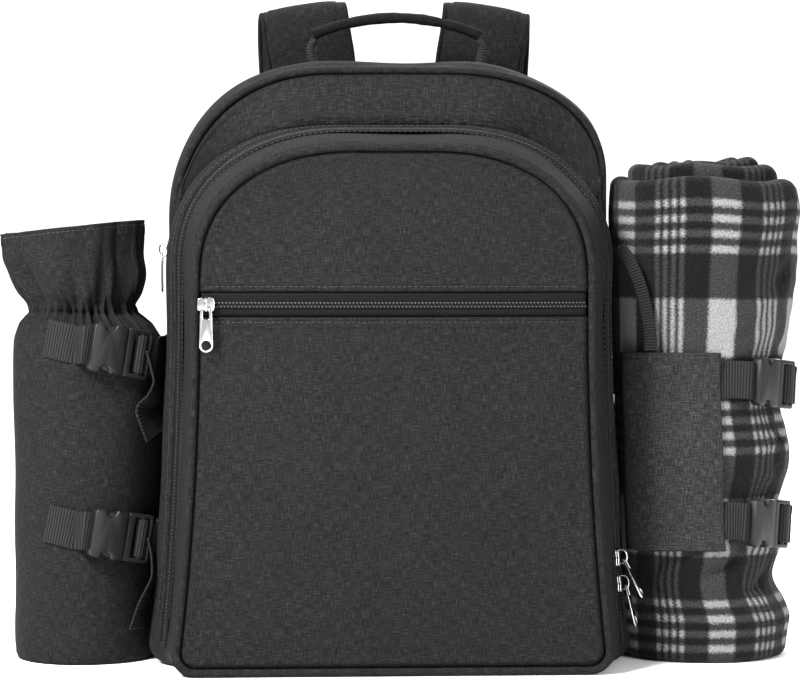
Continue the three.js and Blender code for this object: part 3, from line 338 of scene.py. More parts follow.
# two sets of yarns of uneven thickness and tone cross; a finer noise picks which one lies on top
def canvasLook(name, tone=1.0):
    look, tree, shader = newLook(name, canvas["roughness"], Specular_IOR_Level=0.08)
    places = clothPlaces(tree)
    warp = noise(tree, node(tree, "ShaderNodeMapping",
                            {"Vector": places, "Scale": (canvas["yarn"], canvas["slub"], 1)}).outputs[0], 1.0, 2.5)
    weft = noise(tree, node(tree, "ShaderNodeMapping",
                            {"Vector": places, "Scale": (canvas["slub"], canvas["yarn"], 1),
                             "Location": (7.3, 2.1, 0)}).outputs[0], 1.0, 2.5)
    over = noise(tree, places, 1.5, 1.0)
    pick = maths(tree, "MULTIPLY_ADD", maths(tree, "SUBTRACT", over, 0.5), 4.0, 0.5)
    pick = node(tree, "ShaderNodeClamp", {"Value": pick}).outputs[0]
    yarns = node(tree, "ShaderNodeMix", {0: pick, 2: warp, 3: weft}, data_type="FLOAT").outputs[0]
    colour = ramp(tree, yarns, [(0.30, canvas["dark"]), (0.5, canvas["middle"]), (0.72, canvas["light"])])
    wide = noise(tree, places, 0.018, 2.0)
    shade = maths(tree, "MULTIPLY_ADD", wide, 0.35, 0.82 * tone)
    tinted = node(tree, "ShaderNodeVectorMath", {0: colour, "Scale": shade}, operation="SCALE").outputs[0]
    tree.links.new(tinted, shader.inputs["Base Color"])
    bump = node(tree, "ShaderNodeBump", {"Height": yarns, "Strength": 0.6, "Distance": canvas["relief"] * 0.001})
    tree.links.new(bump.outputs[0], shader.inputs["Normal"])
    rough = maths(tree, "MULTIPLY_ADD", yarns, -0.12, canvas["roughness"] + 0.04)
    tree.links.new(rough, shader.inputs["Roughness"])
    return look


webbingFinish = {"dark": (0.0015, 0.0015, 0.0018), "light": (0.019, 0.019, 0.0195), "rib": 1.9, "relief": 0.4}


# ribs across the strap, each broken into slanted yarns that turn over at the strap's middle
def webbingLook(name, tone=1.0):
    look, tree, shader = newLook(name, 0.75, Specular_IOR_Level=0.10)
    parts = node(tree, "ShaderNodeSeparateXYZ", {"Vector": clothPlaces(tree)}).outputs
    slant = maths(tree, "MULTIPLY", maths(tree, "PINGPONG", parts[0], 1.6), 0.14)
    run = maths(tree, "ADD", parts[1], slant)
    rib = maths(tree, "SINE", maths(tree, "MULTIPLY", run, 2 * math.pi / webbingFinish["rib"]))
    cross = maths(tree, "SINE", maths(tree, "MULTIPLY", parts[0], 2 * math.pi / 1.04))
    weave = maths(tree, "MULTIPLY_ADD", maths(tree, "ADD", rib, maths(tree, "MULTIPLY", cross, 0.35)), 0.35, 0.5)
    fleck = noise(tree, clothPlaces(tree), 1.4, 2.0)
    mixed = maths(tree, "MULTIPLY_ADD", maths(tree, "SUBTRACT", fleck, 0.5), 1.5, weave)
    colour = ramp(tree, mixed, [(0.15, webbingFinish["dark"]), (0.95, webbingFinish["light"])])
    tinted = node(tree, "ShaderNodeVectorMath", {0: colour, "Scale": tone}, operation="SCALE").outputs[0]
    tree.links.new(tinted, shader.inputs["Base Color"])
    bump = node(tree, "ShaderNodeBump",
                {"Height": weave, "Strength": 0.8, "Distance": webbingFinish["relief"] * 0.001})
    tree.links.new(bump.outputs[0], shader.inputs["Normal"])
    return look


# a close twill, for zip tapes
def tapeLook(name, dark=(0.002, 0.002, 0.0022), light=(0.007, 0.007, 0.0075)):
    look, tree, shader = newLook(name, 0.8, Specular_IOR_Level=0.06)
    parts = node(tree, "ShaderNodeSeparateXYZ", {"Vector": clothPlaces(tree)}).outputs
    twill = maths(tree, "SINE", maths(tree, "MULTIPLY", maths(tree, "ADD", parts[0], parts[1]), 2 * math.pi / 0.9))
    fleck = noise(tree, clothPlaces(tree), 1.2, 2.0)
    weave = maths(tree, "MULTIPLY_ADD", twill, 0.25, fleck)
    tree.links.new(ramp(tree, weave, [(0.25, dark), (0.85, light)]), shader.inputs["Base Color"])
    bump = node(tree, "ShaderNodeBump", {"Height": weave, "Strength": 0.5, "Distance": 0.0001})
    tree.links.new(bump.outputs[0], shader.inputs["Normal"])
    return look


# smooth black nylon with painted highlights: each tooth's crown is painted pale where light would glint on it, and the
# two rows of teeth are half a pitch apart
def coilLook(name, pitch=2.3):
    look, tree, shader = newLook(name, 0.55, Specular_IOR_Level=0.12)
    parts = node(tree, "ShaderNodeSeparateXYZ", {"Vector": clothPlaces(tree)}).outputs
    # painted highlight: a pale spot on each tooth's crown, where the glint of light would fall; between the spots is
    # the nylon's own near black
    half = maths(tree, "MULTIPLY", maths(tree, "GREATER_THAN", parts[0], 0.0), math.pi)
    turn = maths(tree, "ADD", maths(tree, "MULTIPLY", parts[1], 2 * math.pi / pitch), half)
    tooth = maths(tree, "MULTIPLY_ADD", maths(tree, "COSINE", turn), 0.5, 0.5)
    aside = maths(tree, "ABSOLUTE", maths(tree, "SUBTRACT", maths(tree, "ABSOLUTE", parts[0]), 1.25))
    crown = node(tree, "ShaderNodeClamp", {"Value": maths(tree, "MULTIPLY_ADD", aside, -1.0, 1.0)}).outputs[0]
    tone = maths(tree, "MULTIPLY", tooth, crown)
    # the ramp runs from the nylon's near black to the pale grey of the painted glints
    tree.links.new(ramp(tree, tone, [(0.40, (0.001, 0.001, 0.001)), (0.9, (0.062, 0.062, 0.062))]),
                   shader.inputs["Base Color"])
    return look


# moulded plastic: a fine grain, and paler, rougher patches where hands have rubbed it
def plasticLook(name):
    look, tree, shader = newLook(name, 0.42, Specular_IOR_Level=0.24)
    place = node(tree, "ShaderNodeTexCoord").outputs["Object"]
    grain = noise(tree, place, 2600.0, 2.0)
    rub = noise(tree, place, 60.0, 3.0)
    tree.links.new(ramp(tree, rub, [(0.35, (0.0045, 0.0045, 0.0048)), (0.75, (0.008, 0.008, 0.0084))]),
                   shader.inputs["Base Color"])
    tree.links.new(maths(tree, "MULTIPLY_ADD", rub, 0.25, 0.30), shader.inputs["Roughness"])
    bump = node(tree, "ShaderNodeBump", {"Height": grain, "Strength": 0.25, "Distance": 0.0001})
    tree.links.new(bump.outputs[0], shader.inputs["Normal"])
    return look


# nickel plate: bright, with faint clouding and fine scratches
def nickelLook(name):
    look, tree, shader = newLook(name, 0.22, Metallic=1.0)
    place = node(tree, "ShaderNodeTexCoord").outputs["Object"]
    cloud = noise(tree, place, 160.0, 3.0)
    scratch = noise(tree, node(tree, "ShaderNodeMapping",
                               {"Vector": place, "Scale": (2400, 2400, 160)}).outputs[0], 1.0, 2.0)
    tree.links.new(ramp(tree, cloud, [(0.3, (0.40, 0.40, 0.395)), (0.7, (0.62, 0.62, 0.61))]),
                   shader.inputs["Base Color"])
    tree.links.new(maths(tree, "MULTIPLY_ADD", scratch, 0.22, 0.12), shader.inputs["Roughness"])
    bump = node(tree, "ShaderNodeBump", {"Height": scratch, "Strength": 0.15, "Distance": 0.00005})
    tree.links.new(bump.outputs[0], shader.inputs["Normal"])
    return look


# sewing thread: two plies twisted round each other
def threadLook(name):
    look, tree, shader = newLook(name, 0.5, Specular_IOR_Level=0.3)
    place = node(tree, "ShaderNodeTexCoord").outputs["Object"]
    ply = noise(tree, place, 1800.0, 1.0)
    tree.links.new(ramp(tree, ply, [(0.3, (0.005, 0.005, 0.005)), (0.7, (0.020, 0.020, 0.0205))]),
                   shader.inputs["Base Color"])
    return look


looks = {
    "canvas": canvasLook("heatheredCanvas"),
    "darkCanvas": canvasLook("heatheredCanvasShade", 0.35),
    "strapCanvas": canvasLook("heatheredCanvasStrap", 0.65),
    "flapCanvas": canvasLook("heatheredCanvasFlap", 2.3),
    "webbing": webbingLook("ribbedWebbing"),
    "tape": tapeLook("zipTape"),
    "coil": coilLook("nylonCoilPaintedGlints"),
    "plastic": plasticLook("satinPlastic"),
    "nickel": nickelLook("nickelPlate"),
    "thread": threadLook("darkThread"),
}
print("finishes made")

# shares of width and height are of the bag; the rest is in millimetres
bag = {
    "width": 300, "height": 398, "mainDepth": 105, "mainFront": -5, "frontDepth": 73.7,
    "corner": 14, "piping": 2.4, "gap": 0.3, "crown": 8, "foldReach": 20, "wall": 2,
    "squareness": 2.25, "flare": 2.2, "zipWidth": 13, "frontZip": 0.46, "rearZip": 0.6,
    # at, left, right, spreadLeft, spreadRight, top, wideLeft, tallLeft, wideRight, tallRight
    "mainRings": [
        (0.00, 0.483, 0.483, 0.030, 0.033, 0.987, 0.360, 0.285, 0.360, 0.185),
        (0.10, 0.488, 0.486, 0.026, 0.029, 0.994, 0.360, 0.285, 0.365, 0.185),
        (0.22, 0.490, 0.487, 0.020, 0.023, 1.000, 0.360, 0.285, 0.370, 0.185),
        (0.60, 0.489, 0.486, 0.016, 0.018, 1.000, 0.360, 0.285, 0.370, 0.190),
        (0.92, 0.482, 0.480, 0.014, 0.014, 0.995, 0.360, 0.285, 0.370, 0.195),
        (1.00, 0.474, 0.472, 0.012, 0.012, 0.982, 0.355, 0.280, 0.365, 0.195)],
    "frontRings": [
        (0.00, 0.475, 0.478, 0.037, 0.040, 0.884, 0.365, 0.250, 0.365, 0.250),
        (0.19, 0.492, 0.490, 0.037, 0.040, 0.892, 0.370, 0.250, 0.370, 0.250),
        (0.46, 0.458, 0.470, 0.036, 0.036, 0.879, 0.365, 0.226, 0.365, 0.226),
        (0.80, 0.438, 0.444, 0.041, 0.039, 0.867, 0.360, 0.218, 0.360, 0.218),
        (1.00, 0.430, 0.430, 0.043, 0.040, 0.854, 0.352, 0.214, 0.352, 0.214)],
    "foldRing": (0.487, 0.487, 0.030, 0.030, 0.931, 0.313, 0.211, 0.313, 0.211),
}
steps = {"base": 26, "corner": 7, "side": 64, "shoulder": 44, "top": 16}
bag["wallFront"] = bag["mainFront"] - 2 * bag["piping"] - bag["gap"]
bag["frontStart"] = bag["wallFront"] - bag["gap"]
bag["pipingY"] = bag["frontStart"] - bag["frontDepth"] - bag["gap"] - bag["piping"]
bag["backStart"] = bag["mainFront"] + bag["mainDepth"] + bag["gap"]
bag["backFace"] = bag["backStart"] + 8


# from the middle of the base: a straight run, a quarter circle, a side that flares towards the ground by a
# power of the height, and a shoulder that is a quarter of a superellipse
def halfOutline(half, spread, wide, tall, top, inset):
    side = half * bag["width"] - inset
    foot = side + spread * bag["width"]
    radius = bag["corner"] - inset / 2
    wide, tall = wide * bag["width"] - inset, tall * bag["height"] - inset
    shoulder = top * bag["height"] - inset - tall
    t = np.linspace(0, 1, steps["base"], endpoint=False)[None]
    angle = np.linspace(0, np.pi / 2, steps["corner"], endpoint=False)[None]
    s = np.linspace(0, 1, steps["side"], endpoint=False)[None]
    turn = np.linspace(0, 1, steps["shoulder"] + 1)[None] * np.pi / 2
    x = [(foot - radius) * t, foot - radius + radius * np.sin(angle),
         side + (foot - side) * (1 - s) ** bag["flare"],
         side - wide + wide * np.clip(np.cos(turn), 0, 1) ** (2 / bag["squareness"])]
    z = [inset + 0 * x[0], inset + radius * (1 - np.cos(angle)), inset + radius + (shoulder - inset - radius) * s,
         shoulder + tall * np.sin(turn) ** (2 / bag["squareness"])]
    return np.concatenate(x, 1), np.concatenate(z, 1)


# rings is one row of outline shares for each ring; y and inset are columns
def outlines(rings, y, inset=0.0):
    rings, y = np.atleast_2d(rings), np.atleast_1d(y)[:, None]
    inset = np.atleast_1d(inset)[:, None] * np.ones((len(rings), 1))
    left, right, spreadLeft, spreadRight, top, wideLeft, tallLeft, wideRight, tallRight = (
        rings[:, k:k + 1] for k in range(9))
    xr, zr = halfOutline(right, spreadRight, wideRight, tallRight, top, inset)
    xl, zl = halfOutline(left, spreadLeft, wideLeft, tallLeft, top, inset)
    t = np.linspace(0, 1, steps["top"] + 1)[None, 1:-1]
    across = xr[:, -1:] + (-xl[:, -1:] - xr[:, -1:]) * t
    x = np.concatenate([xr, across, -xl[:, :0:-1]], 1)
    z = np.concatenate([zr, zr[:, -1:] + 0 * across, zl[:, :0:-1]], 1)
    return np.stack([x, y + 0 * x, z], -1)


def ringShares(rings, at):
    rows = np.asarray(rings)
    return curveThrough(rows[:, 0], rows[:, 1:], np.atleast_1d(at))


def mainOutline(at, inset=0.0):
    return outlines(ringShares(bag["mainRings"], at), bag["mainFront"] + np.atleast_1d(at) * bag["mainDepth"], inset)


def frontOutline(at, inset=0.0):
    return outlines(ringShares(bag["frontRings"], at), bag["frontStart"] - np.atleast_1d(at) * bag["frontDepth"], inset)


onArch = steps["base"] + steps["corner"]  # the first outline point above the rounded base corner


# pinches in the rear compartment's top beside its seam: across, half-length, share of the depth, size
pinches = [(-34, 20, 0.07, 2.6), (24, 15, 0.10, 1.8), (62, 20, 0.05, 2.6), (-78, 20, 0.06, 1.8)]


# a band round the bag: outlines at rising depths, sunk by a step where the zip lies, with soft dents
def gussetGrid(outlineAt, depth, zipAt, seed, dent):
    half = bag["zipWidth"] / 2 / depth
    fine = np.array([-1.12, -1.04, -1, -0.97, -0.5, 0, 0.5, 0.97, 1, 1.04, 1.12]) * half + zipAt
    rows = np.unique(np.r_[0.004, 0.01, 0.018, 0.03, np.linspace(0, zipAt - 1.4 * half, 16), fine,
                           np.linspace(zipAt + 1.4 * half, 1, 14), 0.955, 0.97, 0.98, 0.99])
    surface = outlineAt(rows)
    out = gridNormals(surface, around=True)
    out *= np.sign((out * (surface - [0, 0, 190]) * [1, 0, 1]).sum())
    upright = ease(surface[..., 2], bag["corner"], bag["corner"] + 8)
    sunk = ease(np.abs(rows - zipAt) / half, 1.02, 0.96)[:, None] * upright
    away = np.sin(np.pi * np.clip(rows, 0, 1))[:, None] ** 0.5
    depthOfDents = dent * (ripple(surface, 75, seed, (1, 0.5, 1)) - 0.6) * away * upright * (1 - sunk)
    hem = 0.15 * np.exp(-((np.abs(rows - zipAt) / half - 1.14) / 0.06) ** 2)[:, None] * upright
    seam = -1.9 * np.exp(-(rows * depth / 1.5) ** 2)[:, None] * upright
    if depth < 90:
        seam = seam - 2.2 * np.exp(-((1 - rows) * depth / 1.8) ** 2)[:, None] * upright
    else:
        seam = seam * (1 - 0.9 * np.exp(-((surface[..., 0] - 18) / 46) ** 2) * ease(surface[..., 2], 345, 372))
    pinch = sum(-size * np.exp(-((surface[..., 0] - x) / wide) ** 2 - ((rows[:, None] - row) / 0.03) ** 2)
                for x, wide, row, size in pinches) if depth > 90 else 0
    return surface + out * (depthOfDents - 2.4 * sunk + hem + seam + pinch)[..., None], rows


# a band of points of the arch, from above one base corner over the top to the other, at an inset
def archStrip(outlineAt, rows, inset, lift=0):
    return outlineAt(np.atleast_1d(rows), inset)[:, onArch + lift: -onArch - lift + 1]


# Coil of a zip: half an ellipse carried along the arch, notched in its middle. Its height beats once for each
# tooth, half a pitch later on its right than on its left. Its places are the way across and the way along.
def coilGrid(line, out, width=5.0, height=1.9, pitch=2.3):
    run = np.r_[0, np.cumsum(np.linalg.norm(np.diff(line, axis=0), axis=1))]
    even = np.linspace(0, run[-1], int(run[-1] / pitch) * 4 + 1)
    path = np.stack([np.interp(even, run, line[:, k]) for k in range(3)], -1)
    up = unit(np.stack([np.interp(even, run, out[:, k]) for k in range(3)], -1))
    side = unit(np.cross(unit(np.gradient(path, axis=0)), up))
    places = np.array([-1, -0.85, -0.5, -0.15, 0, 0.15, 0.5, 0.85, 1])
    beat = 0.5 + 0.5 * np.cos(2 * np.pi * even[:, None] / pitch + np.pi * (places[None] > 0))
    rise = np.sqrt(1 - places ** 2) * (1 - 0.6 * np.exp(-(places / 0.14) ** 2))
    a = np.broadcast_to(width / 2 * places, beat.shape)
    b = height * rise[None] * (0.55 + 0.45 * beat) - 0.25
    top = path[:, None] + a[..., None] * side[:, None] + b[..., None] * up[:, None]
    foot = path[:, None] + a[:, ::-1][:, 1:-1, None] * side[:, None] - 0.45 * up[:, None]
    across = np.concatenate([a, a[:, ::-1][:, 1:-1], a[:, :1]], 1)
    return np.concatenate([top, foot], 1), np.stack([across, even[:, None] + 0 * across], -1) * 0.001


def addCoil(name, line, out):
    grid, places = coilGrid(line, out)
    return addSurface(name, grid, looks["coil"], around=True, caps=(True, True), places=places)


# stitches along a line: small six-sided beads, each a few millimetres long, standing a little out of the cloth
def addStitches(name, lines, outs, length=2.7, pitch=3.6, radius=0.3):
    ring = np.linspace(0, 2 * np.pi, 6, endpoint=False)
    bead = [(-0.5, 0.35), (-0.36, 1.0), (0.36, 1.0), (0.5, 0.35)]
    allPoints = []
    for line, out in zip(lines, outs):
        run = np.r_[0, np.cumsum(np.linalg.norm(np.diff(line, axis=0), axis=1))]
        spots = np.arange(pitch, run[-1] - pitch, pitch)
        centre = np.stack([np.interp(spots, run, line[:, k]) for k in range(3)], -1)
        ahead = np.stack([np.interp(spots + 0.5, run, line[:, k]) for k in range(3)], -1)
        along = unit(ahead - centre)
        up = np.stack([np.interp(spots, run, out[:, k]) for k in range(3)], -1)
        up = unit(up - (up * along).sum(-1, keepdims=True) * along)
        side = np.cross(along, up)
        shape = [centre[:, None] + along[:, None] * place * length + radius * size * (
            np.cos(ring)[None, :, None] * side[:, None] + np.sin(ring)[None, :, None] * up[:, None])
            for place, size in bead]
        allPoints.append(np.stack(shape, 1).reshape(-1, 24, 3))
    points = np.concatenate(allPoints)
    k = np.arange(6)
    quads = np.concatenate([np.stack([r * 6 + k, r * 6 + (k + 1) % 6, (r + 1) * 6 + (k + 1) % 6, (r + 1) * 6 + k], -1)
                            for r in range(3)])
    start = 24 * np.arange(len(points))[:, None]
    ends = np.array([[5, 4, 3, 2, 1, 0], [18, 19, 20, 21, 22, 23]])
    flatPoints = points.reshape(-1, 3)
    first = flatPoints[quads]
    centre = first.mean(1) - flatPoints[:24].mean(0)
    square = np.cross(first[:, 2] - first[:, 0], first[:, 3] - first[:, 1])
    if (centre * square).sum() < 0:
        quads, ends = quads[:, ::-1], ends[:, ::-1]
    loops = np.concatenate([(start[..., None] + quads[None]).reshape(-1), (start[..., None] + ends[None]).reshape(-1)])
    sizes = np.r_[np.full(len(points) * len(quads), 4), np.full(len(points) * 2, 6)]
    return finishPiece(putMesh(name, flatPoints, loops, sizes), looks["thread"])


dents = {"rear": 1.1, "front": 0.9, "fold": 0.7, "panel": 0.5}


def outOf(grid, around=False):
    out = gridNormals(grid, around)
    return out * np.sign((out * (grid - grid.reshape(-1, 3).mean(0))).sum())


def addBand(name, outlineAt, depth, zipAt, seed, dent, zipName):
    grid, rows = gussetGrid(outlineAt, depth, zipAt, seed, dent)
    middle = grid.reshape(-1, 3).mean(0)
    band = addSurface(name, grid, looks["canvas"], around=True, thickness=bag["wall"],
                      inside=middle, replaced=name)
    declareSheet(band, grid, around=True)
    half = bag["zipWidth"] / 2 / depth
    across = zipAt + half * np.array([-0.95, -0.7, -0.45, -0.2, 0.0, 0.2, 0.45, 0.7, 0.95, 1.1, 1.2])
    seat = np.interp((across - zipAt) / half, [-0.95, 0.36, 0.72, 1.2], [0.85, 0.85, -0.55, -0.6])
    strip = archStrip(outlineAt, across, seat)
    tape = addSurface(zipName, strip, looks["tape"], thickness=0.8, inside=middle, replaced=zipName)
    declareSheet(tape, strip)
    line = archStrip(outlineAt, zipAt, 0.2)[0]
    out = outOf(archStrip(outlineAt, across, np.full(11, 0.7)))[4]
    out *= np.sign((out * (line - middle)).sum())
    addCoil(zipName + "_coil", line, out)
    lines, outs = [], []
    for side in (-1, 1):
        place = zipAt + side * half * 1.42
        lines.append(archStrip(outlineAt, place, -0.12, 4)[0])
        outs.append(out[4:-4])
    addStitches(name + "_stitching", lines, outs)


addBand("main_gusset", mainOutline, bag["mainDepth"], bag["rearZip"], 3, dents["rear"], "rear_zip_tape")


# piping: a round cord in cloth
def addPiping(name, loop):
    ring = carried(loop, (0, 1, 0), roundProfile(bag["piping"], 14), closed=True)
    addSurface(name, ring, looks["canvas"], around=True, along=True, replaced=name)


def atDepth(loop, y):
    moved = loop.copy()
    moved[..., 1] = y
    return moved


addPiping("main_piping", atDepth(mainOutline(0, bag["piping"])[0], bag["mainFront"] - bag["gap"] - bag["piping"]))


# The wall between the compartments: each outline point moves from the rim to the fold that follows the front
# compartment's arch, and above that arch it slopes forward and turns back under its own lip.
def addMainFront():
    rim = atDepth(mainOutline(0, 2 * bag["piping"] + bag["gap"])[0], bag["wallFront"])
    fold = outlines([bag["foldRing"]], bag["wallFront"], bag["corner"])[0]
    arch = atDepth(frontOutline(0.1, -0.9)[0], bag["wallFront"])
    fold = fold + (arch - fold) * ease(fold[:, 2:], 262, 312)
    share = np.r_[np.linspace(0, 0.2, 14), np.linspace(0.24, 0.86, 18), np.linspace(0.88, 1, 14)]
    reach = curveThrough([0, 0.3, 0.7, 0.9, 0.965, 1], [[0], [0.36], [0.8], [1], [0.86], [0.1]], share)[:, 0]
    grid = rim[None] + (fold - rim)[None] * share[:, None, None]
    bulge = ease(np.abs(grid[..., 0]), 122, 58) * ease(grid[..., 2], 262, 312)
    grid[..., 1] -= bag["foldReach"] * reach[:, None] * bulge
    swell = (0.5 + 0.5 * ripple(grid, 90, 21, (1, 0, 0.6))) * np.sin(np.pi * np.minimum(share, 0.97))[:, None]
    grid[..., 1] -= dents["fold"] * swell * ease(grid[..., 2], 40, 120)
    lip = ease(share, 0.86, 0.95)[:, None] * ease(share, 1.0, 0.965)[:, None]
    grid[..., 2] -= 3.6 * lip * bulge
    off = np.linalg.norm(grid - rim[None], axis=-1)
    calm = 1 - 0.9 * np.exp(-((grid[..., 0] - 18) / 46) ** 2) * ease(grid[..., 2], 345, 372)
    grid[..., 1] += (3.0 * np.exp(-(off / 1.7) ** 2) - 0.7 * np.exp(-((off - 5) / 2.6) ** 2)) * calm
    middle = np.array([0, 0, 199.0])
    inner = [atDepth(middle + (fold - middle) * s, bag["wallFront"]) for s in (0.75, 0.3)]
    grid = np.concatenate([grid, inner])
    panel = addSurface("main_front_panel", grid, looks["canvas"], around=True, caps=(False, True),
                       thickness=bag["wall"] - 0.4, inside=(0, 400, 199), replaced="main_front_panel")


addMainFront()


# inflates a closed padded piece with Cloth for 20 frames; no point ends further than cap from where it was
def puffed(piece, pressure, cap):
    count = len(piece.data.vertices)
    rest, moved = np.empty(count * 3), np.empty(count * 3)
    piece.data.vertices.foreach_get("co", rest)
    cloth = piece.modifiers.new("cloth", "CLOTH")
    cloth.settings.quality = 4
    cloth.settings.use_pressure = True
    cloth.settings.uniform_pressure_force = pressure
    cloth.settings.effector_weights.gravity = 0
    cloth.settings.tension_stiffness = cloth.settings.compression_stiffness = 25
    cloth.settings.shear_stiffness = 15
    cloth.point_cache.frame_start, cloth.point_cache.frame_end = 1, 20
    for moment in range(1, 21):
        scene.frame_set(moment)
    held = piece.evaluated_get(bpy.context.evaluated_depsgraph_get())
    held.data.vertices.foreach_get("co", moved)
    piece.modifiers.clear()
    scene.frame_set(1)
    shift = (moved - rest).reshape(-1, 3)
    shift -= shift.mean(0)
    length = np.maximum(np.linalg.norm(shift, axis=1, keepdims=True), 1e-9)
    print(piece.name, "swelled by up to", round(float(length.max()) * 1000, 2), "mm before the cap")
    shift *= cap * 0.001 * np.tanh(length / (cap * 0.001)) / length
    piece.data.vertices.foreach_set("co", (rest.reshape(-1, 3) + shift).ravel())
    piece.data.update()


# the padded back: crowned between seams that cross it, thin at its rim
def addBack():
    rim = mainOutline(1.0)[0]
    share = np.r_[np.linspace(1, 0.93, 9), np.linspace(0.9, 0.15, 26)]
    centre = np.array([0, 0, 199.0])
    loops = centre + (atDepth(rim, 0) - centre) * share[:, None, None]
    rise = 2.6 + 5.0 * (1 - (np.clip(share - 0.9, 0, 1) / 0.1) ** 2)[:, None] ** 0.5
    seams = sum(np.exp(-((loops[..., 2] - z) / 3.2) ** 2) for z in (120, 205, 290))
    seams = seams * ease(np.abs(loops[..., 0]), 128, 118)
    loops[..., 1] = bag["backStart"] + rise - 2.6 * seams
    front = atDepth(rim, bag["backStart"])[None]
    inner = atDepth(centre + (rim - centre) * 0.15, bag["backStart"])[None]
    grid = np.concatenate([inner, front, loops])
    back = addSurface("back_panel", grid, looks["canvas"], around=True, caps=(True, True),
                      replaced="back_panel")
    puffed(back, 3.0, 1.0)


addBack()
print("rear compartment made")

addBand("front_gusset", frontOutline, bag["frontDepth"], bag["frontZip"], 8, dents["front"], "front_zip_tape")
frontInset = bag["piping"] + bag["wall"] / 4
addPiping("front_piping", atDepth(frontOutline(1.0, frontInset)[0], bag["pipingY"]))

pocket = {"height": 237.5, "width": 15, "hem": 7, "edge": 1.1, "recess": 0.8}


# The crowned front: rows follow the outline's heights, columns run from its left to its right edge, and the
# crown is a flattened dome over both. The rows at the pocket zip turn back into a folded hem.
def frontFace():
    ring = ringShares(bag["frontRings"], 1.0)
    left, right, spreadLeft, spreadRight, top, wideLeft, tallLeft, wideRight, tallRight = ring[0]
    inset = np.array([[frontInset + bag["piping"] - 0.4]])
    xr, zr = halfOutline(right, spreadRight, wideRight, tallRight, top, inset)
    xl, _ = halfOutline(left, spreadLeft, wideLeft, tallLeft, top, inset)
    return xl[0, steps["base"]:], xr[0, steps["base"]:], zr[0, steps["base"]:]


def crownAt(u, w):
    return bag["crown"] * (1 - np.abs(u) ** 2.6) * (1 - np.abs(w) ** 3.0)


def panelGrid(low, high):
    xl, xr, z = frontFace()
    lowest, highest = z[0], z[-1]
    top = high if high is not None else highest
    bottom = low if low is not None else lowest
    inner = z[(z > bottom + 0.01) & (z < top - 0.01)]
    edge = np.array([0.05, 0.25, 0.6, 1.2, 2.0, 2.9, 3.4, 3.9, 5.2, 6.6, 7.0, 7.4, 8.6])
    extra = ([top - edge] if high is not None else [[top]]) + ([bottom + edge] if low is not None else [[bottom]])
    rows = np.unique(np.concatenate([inner] + extra))
    u = np.sin(np.linspace(-1, 1, 121) * np.pi / 2 * 0.98) / np.sin(np.pi / 2 * 0.98)
    u = 0.5 * u + 0.5 * np.linspace(-1, 1, 121)
    lefts, rights = np.interp(rows, z, xl), np.interp(rows, z, xr)
    x = (rights - lefts)[:, None] / 2 + u[None] * (rights + lefts)[:, None] / 2
    w = (rows - (lowest + highest) / 2) / ((highest - lowest) / 2)
    y = bag["pipingY"] - crownAt(u[None], w[:, None])
    grid = np.stack([x, y, rows[:, None] + 0 * x], -1)
    away = (1 - np.abs(u[None]) ** 6) * (1 - np.abs(w[:, None]) ** 8)
    grid[..., 1] -= dents["panel"] * ripple(grid, 110, 31, (1, 0, 1)) * away
    rim = np.concatenate([np.stack([-xl, z], -1), np.stack([xr, z], -1),
                          np.stack([np.linspace(-xl[-1], xr[-1], 30), np.full(30, highest)], -1),
                          np.stack([np.linspace(-xl[0], xr[0], 120), np.full(120, lowest)], -1)])
    off = np.min(np.hypot(grid[..., 0, None] - rim[:, 0], grid[..., 2, None] - rim[:, 1]), -1)
    grid[..., 1] += 3.2 * np.exp(-(off / 1.7) ** 2) - 0.6 * np.exp(-((off - 4.6) / 2.2) ** 2)
    hemmed = np.ones_like(rows) * 99.0
    if high is not None:
        hemmed = np.minimum(hemmed, top - rows)
    if low is not None:
        hemmed = np.minimum(hemmed, rows - bottom)
    lift = 0.55 * ease(hemmed, pocket["hem"] + 0.6, pocket["hem"] - 0.4)
    groove = -0.6 * np.exp(-((hemmed - 3.4) / 0.5) ** 2)
    roll = -np.maximum(0, 1 - hemmed / 1.3) ** 2.2 * 2.0
    grid[..., 1] -= (lift + groove + roll)[:, None]
    return grid, rows


def addPanels():
    low, high = pocket["height"] - pocket["width"] / 2, pocket["height"] + pocket["width"] / 2
    lower, _ = panelGrid(None, low - 0.4)
    upper, _ = panelGrid(high + 0.3, None)
    deep = (0, 300, 199)
    for name, grid in (("front_panel_lower", lower), ("front_panel_upper", upper)):
        panel = addSurface(name, grid, looks["canvas"], thickness=bag["wall"] - 0.3, inside=deep,
                           replaced=name)
        declareSheet(panel, grid)
    lines, outs = [], []
    for grid, place in ((lower, low - 0.4 - 3.4), (upper, high + 0.3 + 3.4)):
        row = np.argmin(np.abs(grid[:, 60, 2] - place))
        lines.append(grid[row, 4:-4] - [0, 0.22, 0])
        outs.append(np.tile([0, -1.0, 0], (len(lines[-1]), 1)))
    addStitches("pocket_stitching", lines, outs)
    # the zip lies a little behind the hems: a flat tape with the coil along its middle
    xl, xr, z = frontFace()
    u = np.linspace(-0.985, 0.985, 90)
    reach = (np.interp(pocket["height"], z, xr) + np.interp(pocket["height"], z, xl)) / 2
    x = (np.interp(pocket["height"], z, xr) - np.interp(pocket["height"], z, xl)) / 2 + u * reach
    w = (pocket["height"] - 168.5) / 163
    y = bag["pipingY"] - crownAt(u, w) + pocket["recess"]
    heights = np.linspace(low + 0.2, high - 0.2, 7)
    tape = np.stack([np.broadcast_to(x, (7, 90)), np.broadcast_to(y, (7, 90)),
                     np.broadcast_to(heights[:, None], (7, 90))], -1).copy()
    piece = addSurface("pocket_zip_tape", tape, looks["tape"], thickness=0.8, inside=deep,
                       replaced="pocket_zip_tape")
    declareSheet(piece, tape)
    line = np.stack([x, y - 0.1, np.full(90, pocket["height"] - 0.3)], -1)
    out = np.tile([0, -1.0, 0], (90, 1))
    addCoil("pocket_zip_coil", line, out)


addPanels()
print("front compartment made")

